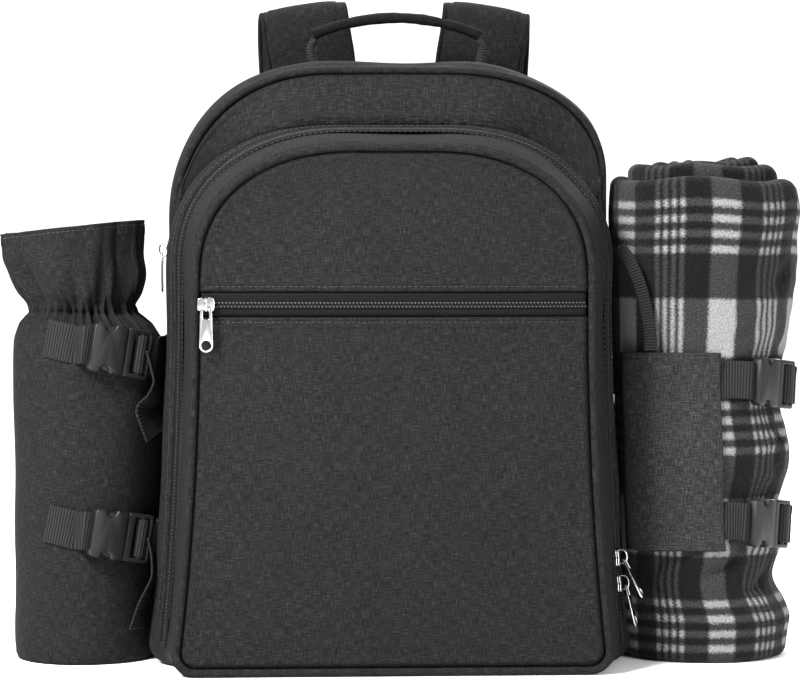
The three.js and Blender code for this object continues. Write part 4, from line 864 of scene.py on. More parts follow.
handle = {"span": 115, "centre": 9, "depth": 75, "rise": 12, "endHeight": 22, "radius": 3.6}


# the grip: a round profile carried along a flat arch, wrinkled a little where its cover is bound
def addHandle():
    low, high = handle["centre"] - handle["span"] / 2, handle["centre"] + handle["span"] / 2
    base = bag["height"] + handle["endHeight"]
    t = np.linspace(0, 1, 150)
    path = np.stack([low + (high - low) * t, np.full(150, float(handle["depth"])),
                     base + handle["rise"] * np.sin(np.pi * t) ** 0.8], -1)
    size = handle["radius"] * (1 + 0.05 * ripple(path, 9, 41) + 0.16 * ease(np.abs(t - 0.5), 0.44, 0.5))
    grid = carried(path, (0, 1, 0), roundProfile(1, 18)[None] * size[:, None, None])
    grid[..., 2] -= 0.5 * np.exp(-((grid[..., 1] - handle["depth"] + 2.2) / 0.5) ** 2)
    addSurface("handle_grip", grid, looks["darkCanvas"], around=True, caps=(True, True),
               replaced="handle_grip")
    for name, x, out in (("left", low, -1), ("right", high, 1)):
        points = [(x - out * 0.4, handle["depth"], bag["height"] - 0.6),
                  (x + out * 1.2, handle["depth"], bag["height"] + 0.3 * handle["endHeight"]),
                  (x + out * 1.7, handle["depth"], bag["height"] + 0.62 * handle["endHeight"]),
                  (x - out * 1.6, handle["depth"] - 0.6, base - handle["radius"] + 0.6)]
        path = smoothPath(points, 26)
        profile = strapProfile(12.5, 6.2, 12, 7)
        fold = 1 - 0.22 * np.exp(-(profile[:, 0] / 1.4) ** 2)
        profile = profile * np.stack([np.ones_like(fold), fold], -1)
        narrow = np.interp(np.linspace(0, 1, 26), [0, 0.5, 1], [1.12, 1.0, 0.84])
        grid = carried(path, (0, 1, 0), profile[None] * narrow[:, None, None])
        addSurface("handle_end_" + name, grid, looks["webbing"], around=True, caps=(True, True),
                   replaced="handle_end_" + name)


addHandle()

strap = {
    "width": 62, "endWidth": 46, "thickness": 9, "loop": 49, "spread": 59, "centre": 10, "drop": 300.1,
    "standOff": 30, "webbing": 25, "slope": 0.15,
    # height: above the seam as a share of the loop, or below it of the drop; then out and aside
    "route": [(-0.55, 0, 0.00, 0.00), (0.16, 0, 0.00, 0.00), (0.62, 0, -0.02, 0.07), (0.90, 0, 0.10, 0.11),
              (1.00, 0, 0.36, 0.13), (0.90, 0, 0.62, 0.15), (0.60, 0, 0.76, 0.17), (0, 0.06, 0.82, 0.22),
              (0, 0.33, 1.00, 0.38), (0, 0.66, 0.96, 0.60), (0, 0.90, 0.66, 0.80), (0, 1.00, 0.45, 0.88)],
}


def strapX(side, aside):
    return strap["centre"] + side * (strap["spread"] + (0.36 * bag["width"] - strap["spread"]) * aside)


def strapPath(side, count):
    top, face = bag["height"] - 6, bag["backFace"] + bag["gap"] + strap["thickness"] / 2
    points = [(strapX(side, aside), face + out * strap["standOff"], top + above * strap["loop"] - below * strap["drop"])
              for above, below, out, aside in strap["route"]]
    return smoothPath(points, count)


# Padded strap: a flat lens of foam between bound edges, carried along the looped route.
def addShoulderStraps():
    for name, side in (("left", -1), ("right", 1)):
        path = strapPath(side, 110)
        share = np.linspace(0, 1, 110)
        top = np.exp(-((share - share[np.argmax(path[:, 2])]) / 0.10) ** 2)
        path[:, 0] -= side * 5.0 * np.exp(-((share - 0.36) / 0.10) ** 2)
        wide = unit(np.stack([np.ones(110), np.zeros(110), -side * strap["slope"] * top], -1))
        half = (strap["width"] + (strap["endWidth"] - strap["width"]) * ease(share, 0.45, 1)) / 2 - 1.6
        roundEnd = 1 - 0.28 * ease(share, 0.965, 1.0) ** 2
        a = np.sin(np.linspace(-1, 1, 25) * np.pi / 2)
        thick = 1.5 + 3.0 * (1 - np.abs(a) ** 3.2) - 0.9 * np.exp(-((np.abs(a) - 0.86) / 0.035) ** 2)
        loopA = np.r_[a, a[::-1]]
        loopB = np.r_[-thick, thick]
        profile = np.stack([loopA[None] * (half * roundEnd)[:, None], np.broadcast_to(loopB, (110, 50))], -1)
        grid = carried(path, wide, profile)
        piece = addSurface("shoulder_strap_" + name, grid, looks["strapCanvas"], around=True,
                           caps=(True, True), replaced="shoulder_strap_" + name)
        puffed(piece, 3.0, 1.3)
        for edge in (-1, 1):
            rim = np.stack([edge * half * roundEnd, np.zeros(110)], -1)[:, None]
            centre = carried(path, wide, rim)[:, 0]
            bound = carried(centre, wide, roundProfile(1.7, 12, 1.15))
            addSurface(f"strap_binding_{name}_{'inner' if edge == -side else 'outer'}", bound,
                       looks["darkCanvas"], around=True, caps=(True, True))
        # the plastic adjuster, the tab sewn low on the back, and the webbing between them
        end, run = path[-1], unit(path[-1] - path[-2])
        width, length = strap["webbing"] + 6, 20
        level = np.array([1.0, 0, 0])
        flat = unit(np.cross(run, level))
        level = np.cross(flat, run)
        place = Matrix([[*level, 0], [*flat, 0], [*run, 0], [0, 0, 0, 1]]).transposed()
        place.translation = Vector(end + run * 0.6)
        rail = (width - strap["webbing"]) / 2 - 0.6
        holes = [boxOutline(-width / 2 + rail, width / 2 - rail, 3, 9),
                 boxOutline(-width / 2 + rail, width / 2 - rail, 12.4, 17)]
        addPlate("strap_adjuster_" + name, [boxOutline(-width / 2, width / 2, 0, length, 2.2)] + holes, 4, 0.7,
                 place @ Matrix.Rotation(math.pi / 2, 4, "X"), looks["plastic"],
                 "strap_adjuster_" + name)
        x, y, z, height = strapX(side, 1), bag["backFace"] + 0.3, 28, 30
        tab = [(x - 17.5, z), (x + 17.5, z), (x + 10.5, z + height), (x - 10.5, z + height)]
        flatTab = Matrix(((1, 0, 0, 0), (0, 0, -1, y + 1.5), (0, 1, 0, 0), (0, 0, 0, 1)))
        addPlate("strap_tab_" + name, [tab], 2.4, 0.6, flatTab, looks["canvas"], "strap_tab_" + name)
        low = np.array([x, y + 3 + 1.1, z + 0.35 * height])
        high = end + run * (length + 1.8)
        route = smoothPath([low, (low + high) / 2 + [0, 2, 0], high], 40)
        addSurface("strap_webbing_" + name, carried(route, (1, 0, 0), strapProfile(25, 1.6)), looks["webbing"],
                   around=True, caps=(True, True), replaced="strap_webbing_" + name)


def boxOutline(lowX, highX, lowZ, highZ, radius=0.0):
    if not radius:
        return [(lowX, lowZ), (highX, lowZ), (highX, highZ), (lowX, highZ)]
    angle = np.linspace(0, np.pi / 2, 6)
    corners = ((highX, lowZ, 1, -1, -1), (highX, highZ, 1, 1, 0), (lowX, highZ, -1, 1, 1), (lowX, lowZ, -1, -1, 2))
    points = []
    for x, z, sx, sz, quarter in corners:
        turn = angle + quarter * np.pi / 2
        points += list(zip(x - sx * radius + radius * np.cos(turn), z - sz * radius + radius * np.sin(turn)))
    return points


# A plate with holes: a flat filled curve, given its thickness and a rounded edge, made a mesh and then laid
# in place. Its outline lies in X and Y of the place, in millimetres.
def addPlate(name, shapes, thickness, edge, place, look, replaced=(), body="pack"):
    curve = bpy.data.curves.new(name, "CURVE")
    curve.dimensions, curve.fill_mode = "2D", "BOTH"
    curve.extrude = thickness / 2 - edge
    curve.bevel_depth, curve.bevel_resolution = edge, 2
    curve.offset = -edge
    for shape in shapes:
        line = curve.splines.new("POLY")
        line.points.add(len(shape) - 1)
        line.points.foreach_set("co", np.c_[np.asarray(shape, float), np.zeros(len(shape)), np.ones(len(shape))].ravel())
        line.use_cyclic_u = True
    holder = bpy.data.objects.new(name, curve)
    scene.collection.objects.link(holder)
    bpy.context.view_layer.update()
    mesh = bpy.data.meshes.new_from_object(holder.evaluated_get(bpy.context.evaluated_depsgraph_get()))
    bpy.data.objects.remove(holder)
    bpy.data.curves.remove(curve)
    welded = bmesh.new()
    welded.from_mesh(mesh)
    bmesh.ops.remove_doubles(welded, verts=welded.verts, dist=0.0005)
    bmesh.ops.recalc_face_normals(welded, faces=welded.faces)
    welded.to_mesh(mesh)
    welded.free()
    mesh.transform(place)
    mesh.transform(Matrix.Scale(0.001, 4))
    mesh.name = name
    normals = np.empty(len(mesh.polygons) * 3)
    mesh.polygons.foreach_get("normal", normals)
    facing = np.abs(normals.reshape(-1, 3) @ np.array(place.to_3x3())[:, 2])
    mesh.polygons.foreach_set("use_smooth", facing < 0.98)
    mesh.set_sharp_from_angle(angle=math.radians(42))
    piece = bpy.data.objects.new(name, mesh)
    scene.collection.objects.link(piece)
    return finishPiece(piece, look, replaced, body)


addShoulderStraps()
print("handle and shoulder straps made")

pouch = {
    "radius": 48, "height": 287, "depth": 14, "tilt": 0.1, "hem": 9,
    # at, radius, fold, shift, flat
    "rows": [(0.000, 0.955, 0.000, 0.00, 1.00), (0.020, 0.995, 0.000, 0.00, 1.00), (0.220, 0.985, 0.004, 0.00, 1.00),
             (0.480, 0.990, 0.004, 0.00, 1.00), (0.680, 1.000, 0.010, 0.00, 1.00), (0.735, 0.985, 0.030, 0.00, 1.00),
             (0.770, 0.910, 0.070, 0.00, 1.00), (0.792, 0.790, 0.130, 0.01, 1.00), (0.804, 0.710, 0.170, 0.02, 1.00),
             (0.818, 0.730, 0.160, 0.03, 1.00), (0.850, 0.840, 0.130, 0.06, 0.94), (0.890, 0.910, 0.110, 0.105, 0.88),
             (0.940, 0.935, 0.080, 0.175, 0.82), (1.000, 0.940, 0.060, 0.180, 0.76)],
    # folds that rise from the neck: angle, turn and half-width in degrees, depth, share of the flare
    "folds": [(-93, 9, 6, 4.4, 0.95), (-70, 14, 5, 5.4, 0.70), (-112, -10, 5, 2.6, 0.40), (-129, -6, 7, 3.4, 0.70),
              (-50, 10, 5, 3.4, 0.45), (-38, 8, 6, 4.0, 0.95), (-158, -8, 8, 3.0, 0.60), (8, 0, 8, 3.6, 0.80),
              (62, 0, 8, 3.4, 0.70), (118, 0, 8, 3.4, 0.80)],
    # and that fall from it over the shoulder
    "pleats": [(-168, 3.2), (-151, 3.8), (-137, 3.0), (-124, 4.2), (-113, 3.4), (-104, 3.0), (-95, 4.6), (-86, 3.6),
               (-77, 4.8), (-69, 3.4), (-60, 4.4), (-50, 4.0), (-39, 4.6), (-26, 3.8), (-12, 3.4), (6, 3.0)],
}


def sideAt(height, side):
    reaches = []
    for loop in mainOutline(np.array([0, 0.1, 0.22, 0.4])):
        right = loop[(loop[:, 0] * side > 0) & (loop[:, 2] >= bag["corner"] - 1)]
        right = right[np.argsort(right[:, 2])]
        reaches.append(np.interp(height, right[:, 2], np.abs(right[:, 0])))
    return side * np.max(reaches, axis=0)


pouchX = sideAt(0, -1) - 0.3 - pouch["radius"] + 0.5


# Lobes round a ring, rounded outwards and sharp inwards: the absolute value of a cosine whose angle is warped
# so that no two lobes are alike.
def lobes(angle, count, warp, start):
    bent = angle + warp * np.sin(2 * angle + start) + 0.6 * warp * np.sin(3 * angle + 2.3 * start)
    return np.abs(np.cos(count / 2 * bent + start))


# The sleeve: rings of radii from the table, folded by lobes that are few in the body and the flare and many at
# the drawn-in neck, pressed flat where they lean on the bag, closed below by a disc.
def addPouch():
    at = np.unique(np.r_[np.linspace(0, 0.7, 60), np.linspace(0.7, 0.86, 80), np.linspace(0.86, 1, 40)])
    radius, fold, shift, flat = curveThrough(np.array(pouch["rows"])[:, 0], np.array(pouch["rows"])[:, 1:], at).T
    angle = np.linspace(0, 2 * np.pi, 420, endpoint=False)
    nearNeck = np.exp(-((at - 0.803) / 0.026) ** 2)[:, None]
    few = lobes(angle, 7, 0.16, 0.4)[None] - 0.64
    some = lobes(angle, 16, 0.13, 1.3)[None] - 0.64
    many = lobes(angle, 34, 0.10, 2.2)[None] - 0.64
    twist = 0.10 * np.sin(5 * angle + 1.0)[None] * ease(at, 0.8, 0.9)[:, None]
    several = lobes(angle[None] + twist, 8, 0.3, 0.35) - 0.64
    above = ease(at, 0.79, 0.84)[:, None]
    wave = (1 - nearNeck) * (some * 0.35 + few * 0.65) * (1 - above) + nearNeck * (some * 0.8 + many * 0.55) \
        + above * (1 - nearNeck) * (several * 1.1 + some * 0.3)
    r = radius[:, None] * pouch["radius"] * (1 + fold[:, None] * wave)
    degrees = np.degrees(angle)[None]
    for where, turn, wide, deep, reach in pouch["folds"]:
        risen = np.clip((at[:, None] - 0.80) / 0.2, 0, 1)
        aside = (degrees - where - turn * risen + 180) % 360 - 180
        r -= deep * np.exp(-(aside / (wide * (1 + 0.8 * risen))) ** 2) * ease(at, 0.800, 0.835)[:, None] \
            * ease(risen, reach + 0.12, 0.25 * reach)
    for where, deep in pouch["pleats"]:
        fallen = np.clip((0.806 - at[:, None]) / 0.07, 0, 1)
        aside = (degrees - where - 2.5 * (deep - 3.8) * fallen + 180) % 360 - 180
        r -= 0.62 * deep * np.exp(-(aside / (2.2 + 1.4 * fallen)) ** 2) * ease(at, 0.815, 0.803)[:, None] \
            * ease(fallen, 0.24 * deep, 0.1)
    lean = pouch["tilt"] * pouch["radius"] * ease(at, 0.86, 1.0)[:, None] * np.cos(angle)[None]
    room = np.abs(pouchX - sideAt(at * pouch["height"], -1)) - 0.6 - pouch["radius"]
    room = room * ease(at, 0.0, 0.08) * ease(at, 0.80, 0.70)
    x = pouchX - shift[:, None] * pouch["radius"] + r * np.cos(angle)[None]
    x += np.maximum(room, 0)[:, None] * np.maximum(np.cos(angle), 0)[None]
    y = pouch["depth"] + flat[:, None] * r * np.sin(angle)[None]
    scallop = np.exp(-((at - 0.772) / 0.016) ** 2)[:, None] * (some * 0.7 + many * 0.4)
    z = at[:, None] * pouch["height"] + lean + 3.4 * scallop
    grid = np.stack([x, y, z + 0 * x], -1)
    out = gridNormals(grid, around=True)
    out *= np.sign((out * (grid - [pouchX, pouch["depth"], 140]) * [1, 1, 0]).sum())
    soft = ripple(grid, 60, 51, (1, 1, 0.7)) * ease(at, 0.02, 0.12)[:, None] * ease(at, 0.78, 0.7)[:, None]
    drape = ripple(grid, 34, 53, (1, 1, 0.35)) * ease(at, 0.83, 0.9)[:, None]
    hemAt = (1 - at[:, None]) * pouch["height"]
    hem = 0.4 * ease(hemAt, pouch["hem"], pouch["hem"] - 1) - 0.5 * np.exp(-((hemAt - 2.6) / 0.6) ** 2)
    foot = -0.5 * np.exp(-((at[:, None] * pouch["height"] - 7) / 0.7) ** 2)
    grid += out * (0.9 * soft + 1.6 * drape + hem + foot)[..., None]
    limit = sideAt(np.minimum(grid[..., 2], 0.66 * bag["height"]).ravel(), -1).reshape(grid.shape[:2]) - 0.3
    grid[..., 0] = np.minimum(grid[..., 0], limit)
    grid[..., 2] = np.maximum(grid[..., 2], 0.1)
    hub = np.array([pouchX, pouch["depth"], 0.1])
    floorRings = [hub + (grid[0] - hub) * [s, s, 0] for s in (0.3, 0.7, 0.93)]
    whole = np.concatenate([floorRings, grid])
    piece = addSurface("bottle_pouch", whole, looks["canvas"], around=True, caps=(True, False),
                       thickness=1.5, inside=(pouchX, pouch["depth"], 140), replaced="bottle_pouch")
    row = np.argmin(np.abs(hemAt[:, 0] - 2.6))
    line = (grid + out * 0.15)[row]
    addStitches("pouch_stitching", [line], [out[row]], length=2.4, pitch=3.3)


addPouch()
print("bottle pouch made")

roll = {
    "radius": 63, "height": 319, "rise": 12, "depth": 10, "core": 9, "pack": 10.4, "pitch": 11.4, "free": 8,
    # at, girth, lean
    "rows": [(0.000, 0.920, 0.020), (0.070, 0.950, 0.030), (0.165, 0.860, -0.055), (0.235, 0.905, -0.015),
             (0.290, 0.875, -0.055), (0.430, 0.945, 0.020), (0.560, 0.890, -0.030), (0.675, 0.950, 0.000),
             (0.840, 0.995, 0.020), (0.930, 1.030, 0.040), (1.000, 0.990, 0.025)],
    # creases where the flap and its straps squeeze it: angle from the front, height, slope, half-length,
    # half-width, depth
    "creases": [(-12, 72, 38, 26, 4.5, 4.0), (12, 60, 28, 24, 4.0, 3.6), (-34, 60, 50, 18, 4.0, 3.2),
                (30, 74, -30, 16, 4.0, 2.8), (44, 48, 24, 16, 4.0, 2.6), (8, 34, 12, 22, 5.0, 2.0),
                (62, 150, 58, 20, 4.5, 2.6), (52, 128, -44, 16, 4.0, 2.2), (66, 206, -35, 18, 4.5, 2.4),
                (20, 214, 18, 24, 5.0, 1.8), (-20, 226, -24, 22, 5.0, 1.6), (58, 258, 50, 22, 5.0, 1.6)],
}
roll["turns"] = (roll["radius"] - roll["pack"] - roll["core"]) / roll["pitch"]
rollFoot = sideAt(0, 1) - 0.9 + roll["radius"] * (0.92 - 0.02)


# the girth of the roll and where its middle stands, at heights
def rollAt(height):
    rows = np.array(roll["rows"])
    girth, lean = curveThrough(rows[:, 0], rows[:, 1:], np.clip(height / roll["height"], 0, 1), level=True).T
    return roll["radius"] * girth.T, rollFoot + roll["radius"] * lean.T


tartan = {
    "across": 70.0, "down": 132.0, "wideAcross": (27.1, 18.0), "thinAcross": (62.3, 5.5, 2.8),
    "wideDown": (85.5, 38.0), "thinDown": (19.5, 9.9, 4.6),
    "ground": (0.0040, 0.0040, 0.0044), "half": (0.021, 0.021, 0.0215), "full": (0.17, 0.17, 0.167),
    "blur": 2.1,
}


# Two sets of stripes: the cloth is darkest where neither set lies, grey under one and palest under both. A fine
# noise moves the edges, because the brushed pile lies over them.
def fleeceLook(name):
    look, tree, shader = newLook(name, 1.0, Specular_IOR_Level=0.05, Sheen_Weight=0.04)
    places = clothPlaces(tree)
    pile = node(tree, "ShaderNodeTexNoise", {"Vector": places, "Scale": 0.85, "Detail": 3.0})
    stray = node(tree, "ShaderNodeVectorMath", {0: pile.outputs["Color"], 1: (0.5, 0.5, 0.5)}, operation="SUBTRACT")
    moved = node(tree, "ShaderNodeVectorMath", {0: stray.outputs[0], 1: (3.6, 3.6, 0), 2: places},
                 operation="MULTIPLY_ADD")
    parts = node(tree, "ShaderNodeSeparateXYZ", {"Vector": moved.outputs[0]}).outputs

    def stripe(value, period, centre, width):
        folded = maths(tree, "PINGPONG", maths(tree, "SUBTRACT", value, centre - period * 20), period / 2)
        inner = maths(tree, "SUBTRACT", width / 2, folded)
        return node(tree, "ShaderNodeClamp",
                    {"Value": maths(tree, "MULTIPLY_ADD", inner, 1 / tartan["blur"], 0.5)}).outputs[0]

    def stripes(value, period, wide, thin):
        total = stripe(value, period, *wide)
        for k in (-1.5, -0.5, 0.5, 1.5):
            total = maths(tree, "MAXIMUM", total, stripe(value, period, thin[0] + k * thin[1], thin[2]))
        return total

    across = stripes(parts[0], tartan["across"], tartan["wideAcross"], tartan["thinAcross"])
    down = stripes(parts[1], tartan["down"], tartan["wideDown"], tartan["thinDown"])
    both = maths(tree, "MULTIPLY", across, down)
    one = maths(tree, "MAXIMUM", across, down)
    speck = noise(tree, places, 0.8, 3.0, 0.65)
    grey = node(tree, "ShaderNodeMix", {0: one, 6: (*tartan["ground"], 1), 7: (*tartan["half"], 1)},
                data_type="RGBA").outputs[2]
    colour = node(tree, "ShaderNodeMix", {0: both, 6: grey, 7: (*tartan["full"], 1)}, data_type="RGBA").outputs[2]
    dapple = maths(tree, "MULTIPLY_ADD", maths(tree, "SUBTRACT", speck, 0.5), 3.2, 1.0)
    shade = node(tree, "ShaderNodeMix", {0: both, 2: dapple, 3: maths(tree, "MULTIPLY_ADD", speck, 1.4, 0.3)},
                 data_type="FLOAT").outputs[0]
    tinted = node(tree, "ShaderNodeVectorMath", {0: colour, "Scale": shade}, operation="SCALE").outputs[0]
    tree.links.new(tinted, shader.inputs["Base Color"])
    tuft = maths(tree, "ADD", noise(tree, places, 1.0, 3.0), noise(tree, places, 0.25, 2.0))
    bump = node(tree, "ShaderNodeBump", {"Height": tuft, "Strength": 0.9, "Distance": 0.0016})
    tree.links.new(bump.outputs[0], shader.inputs["Normal"])
    return look


looks["fleece"] = fleeceLook("tartanFleece")


# The winding: a tall band with rounded edges carried along a spiral. Its girth follows the table, and its
# places on the cloth are the way from the free edge and the way up.
def addRoll():
    count, pack, height = 420, roll["pack"], roll["height"]
    loss = roll["turns"] * roll["pitch"] / roll["radius"]
    share = (1 - np.sqrt(1 - loss * (2 - loss) * np.linspace(0, 1, count))) / loss
    angle = math.radians(roll["free"]) - share * roll["turns"] * 2 * np.pi
    half = pack / 2
    bow = np.linspace(-np.pi / 2, np.pi / 2, 11)
    faceZ = np.linspace(0, 1, 110)
    # the band's section: out is 1 on the outer face and -1 on the inner one, up runs from 0 to 1
    out = np.r_[np.ones(110), np.cos(np.linspace(0, np.pi, 13))[1:-1], -np.ones(60),
                -np.cos(np.linspace(0, np.pi, 13))[1:-1]]
    lift = np.r_[np.zeros(110), np.sin(np.linspace(0, np.pi, 13))[1:-1], np.zeros(60),
                 -np.sin(np.linspace(0, np.pi, 13))[1:-1]]
    up = np.r_[faceZ, np.ones(11), np.linspace(1, 0, 60), np.zeros(11)]
    rise = roll["rise"] * ease(share, 0.04, 0.45)
    z = half + (height - 2 * half + rise[None]) * up[:, None] + half * lift[:, None]
    z = np.where(up[:, None] < 1e-6, half + half * lift[:, None], z)
    around = np.stack([roll["radius"] * np.cos(angle), roll["radius"] * np.sin(angle), 40 * share], -1)
    z = z + (2.2 * ripple(around, 70, 67) - 1.2)[None] * up[:, None] ** 6
    girth, middle = rollAt(np.minimum(z, height))
    radius = roll["radius"] - share * roll["turns"] * roll["pitch"] - half
    swell = half * (1 - 0.03 * ripple(np.stack([z * 0, radius[None] * np.cos(angle) + 0 * z, z], -1), 45, 61))
    r = (radius[None] + out[:, None] * swell) * girth / roll["radius"]
    quarter = roll["pitch"] / 4
    x = middle - quarter + (1 + quarter / roll["radius"]) * r * np.cos(angle)[None]
    y = roll["depth"] + r * np.sin(angle)[None]
    grid = np.stack([x, y, z], -1)
    away = np.stack([np.cos(angle), np.sin(angle), 0 * angle], -1)[None] * out[:, None, None]
    outerTurn = ease(share, 0.16, 0.02)[None]
    dents = ripple(grid, 48, 63, (1, 1, 0.8)) * 1.3 + ripple(grid, 17, 65) * 0.35
    for turned, level, slope, long, wide, deep in roll["creases"]:
        run = roll["radius"] * (angle[None] + np.radians(90 - turned))
        c, d = math.cos(math.radians(slope)), math.sin(math.radians(slope))
        u, v = run * c + (z - level) * d, (z - level) * c - run * d
        v = v - 0.012 * u ** 2
        dents = dents - deep * np.exp(-(u / long) ** 2 - (v / wide) ** 2) \
            + 0.35 * deep * np.exp(-(u / long) ** 2 - ((np.abs(v) - 2 * wide) / wide) ** 2)
    grid = grid + away * (dents * outerTurn)[..., None]
    face = radius + half
    way = np.r_[0, np.cumsum(np.hypot(*np.diff(np.stack([face * np.cos(angle), face * np.sin(angle)]))))]
    upward = np.r_[0, np.cumsum(np.linalg.norm(np.diff(grid[:, 60], axis=0), axis=-1))]
    upward = np.r_[upward, upward[-1] + 1.0]
    places = np.stack(np.broadcast_arrays(way[None], upward[:, None]), -1) * 0.001
    piece = addSurface("blanket_roll", grid, looks["fleece"], along=True, places=places,
                       inside=None, replaced="blanket_roll")
    closeEnds(piece, grid)


# closes the free edge and the core end of the winding with a face each
def closeEnds(piece, grid):
    shape = bmesh.new()
    shape.from_mesh(piece.data)
    bmesh.ops.holes_fill(shape, edges=[e for e in shape.edges if e.is_boundary], sides=0)
    bmesh.ops.recalc_face_normals(shape, faces=shape.faces)
    shape.to_mesh(piece.data)
    shape.free()


addRoll()

flap = {"top": 205, "bottom": 74, "reach": 63.5, "thickness": 2.6}


def flapStart(height):
    return sideAt(height, 1) + 5


# the flap's face: taut from its seam, then lying on the roll
def flapFace(reached, height, offset):
    girth, middle = rollAt(height)
    radius = girth * (1 - roll["pitch"] / 4 / roll["radius"]) + 0.9 + offset
    x = flapStart(height) + reached
    aside = np.minimum(1, np.abs(x - middle) / radius)
    onRoll = roll["depth"] - radius * np.sqrt(1 - aside ** 2)
    share = np.minimum(1, 2.2 * reached / flap["reach"]) ** 0.6
    start = bag["frontStart"] - 0.2 * bag["frontDepth"] - offset
    taut = start + (roll["depth"] - radius - start) * share
    near = ease(reached, 0.62 * flap["reach"], 0.28 * flap["reach"])
    y = onRoll + (np.minimum(onRoll, taut) - onRoll) * near
    return np.stack([x + 0 * y, y, height + 0 * y], -1)


def addFlap():
    reach = np.r_[np.linspace(0, flap["reach"] - 6, 48), flap["reach"] - np.array([4.5, 3.8, 3.2, 2.6, 1.6, 0.8, 0.2])]
    edge = np.array([0.2, 0.8, 1.6, 2.6, 3.2, 3.8, 4.5])
    z = np.r_[flap["bottom"] + edge, np.linspace(flap["bottom"] + 6, flap["top"] - 6, 70), flap["top"] - edge[::-1]]
    aside, level = np.meshgrid(reach, z)
    grid = flapFace(aside.ravel(), level.ravel(), flap["thickness"]).reshape(*aside.shape, 3)
    fromEdge = np.minimum(np.minimum(level - flap["bottom"], flap["top"] - level), flap["reach"] - aside)
    grid[..., 1] -= 0.35 * ease(fromEdge, 6.4, 5.6) - 0.45 * np.exp(-((fromEdge - 3.2) / 0.5) ** 2)
    grid[..., 1] += 1.1 * np.maximum(0, 1 - fromEdge / 1.2) ** 2
    grid[..., 1] -= 0.5 * ripple(grid, 52, 71, (1, 0, 1)) * ease(fromEdge, 2, 22)
    piece = addSurface("blanket_flap", grid, looks["flapCanvas"], thickness=2.2, inside=(213, 300, 140),
                       replaced="blanket_flap")
    declareSheet(piece, grid)
    right = grid[6:-6, np.argmin(np.abs(reach - flap["reach"] + 3.2))]
    top = grid[np.argmin(np.abs(z - flap["top"] + 3.2)), 4:-5]
    bottom = grid[np.argmin(np.abs(z - flap["bottom"] - 3.2)), 4:-5]
    out = np.array([0.0, -1.0, 0.0])
    addStitches("flap_stitching", [line - [0, 0.25, 0] for line in (right, top, bottom)],
                [np.tile(out, (len(line), 1)) for line in (right, top, bottom)], radius=0.34)
    # the loop that runs from the bag's side down to the flap's top edge
    route = [(0, 1), (0.32, 0.86), (0.62, 0.66), (0.86, 0.4), (1, 0.14), (1, 0.012)]
    points = np.array([flapFace(np.array([0.7 * 25 * across]), np.array([205.0]), 1.3)[0] + [0, 0, 67.5 * up]
                       for across, up in route])
    path = smoothPath(points, 60)
    t = np.linspace(0, 1, 60)[:, None]
    wide = unit((1 - t) * np.array([0.4, 0, 1.0]) + t * np.array([1.0, 0, 0]))
    addSurface("side_loop", carried(path, wide, strapProfile(9, 3.0, 8, 8)), looks["webbing"],
               around=True, caps=(True, True), replaced="side_loop")


addFlap()
print("blanket and flap made")

buckle = {"width": 32, "thickness": 8, "socket": 24, "latch": 18.5, "wall": 2.2, "prong": 5, "gap": 0.3}
buckle["length"] = buckle["socket"] + buckle["gap"] + buckle["latch"]


# A buckle's directions on a roll: tangent to it at an angle from the front, dipping by a slope.
def buckleFrame(centre, radius, angle, dip):
    a, d = math.radians(angle), math.radians(dip)
    out = np.array([math.sin(a), -math.cos(a), 0])
    along = np.array([math.cos(a) * math.cos(d), math.sin(a) * math.cos(d), -math.sin(d)])
    up = unit(np.cross(along, -out))
    start = np.asarray(centre, float) + out * (radius + 0.3 + buckle["thickness"] / 2) - along * buckle["length"] / 2
    place = Matrix([[*along, 0], [*up, 0], [*out, 0], [0, 0, 0, 1]]).transposed()
    place.translation = Vector(start)
    return {"start": start, "end": start + along * buckle["length"], "along": along, "up": up, "out": out,
            "place": place}


# The socket is a flat case with a waist on each side through which the prongs show; the latch has prongs and
# a frame with two slots. Outlines run along X and across Y, with the thickness along Z.
def addBuckle(name, at):
    half, long = buckle["width"] / 2, buckle["socket"]
    t = np.linspace(0, 1, 9)
    bowl = [(7.2 + 8.6 * s, half - 4.6 * math.sin(math.pi * s) ** 0.7) for s in t]
    upper = [(0.0, half - 3.2), (0.8, half - 1.2), (2.6, half - 0.3), (5.6, half)] + bowl + [
        (17.2, half), (long - 0.9, half), (long, half - 0.9)]
    case = upper + [(x, -y) for x, y in upper[::-1]]
    addPlate(name + "_socket", [case], buckle["thickness"] - 0.6, 1.3, at["place"], looks["plastic"],
             name + "_socket")
    base = long + buckle["gap"]
    outer = half - 0.6
    frameOutline = boxOutline(base, base + buckle["latch"], -half, half, 2.0)
    slots = [boxOutline(base + 5.2, base + 9.8, -13, 13, 0.8), boxOutline(base + 12.6, base + 16.0, -13, 13, 0.8)]
    addPlate(name + "_latch", [frameOutline] + slots, buckle["thickness"] - 2.2, 0.9, at["place"], looks["plastic"],
             name + "_latch")
    for side, which in ((-1, "low"), (1, "high")):
        prong = [(base + 0.5, side * (outer - 6.4)), (base + 0.5, side * (outer - 1.2)), (19, side * (outer - 1.4)),
                 (15.5, side * (outer - 0.6)), (11.0, side * (outer - 1.6)), (8.6, side * (outer - 4.2)),
                 (9.6, side * (outer - 5.4))]
        addPlate(f"{name}_prong_{which}", [prong], 2.6, 0.5, at["place"], looks["plastic"])


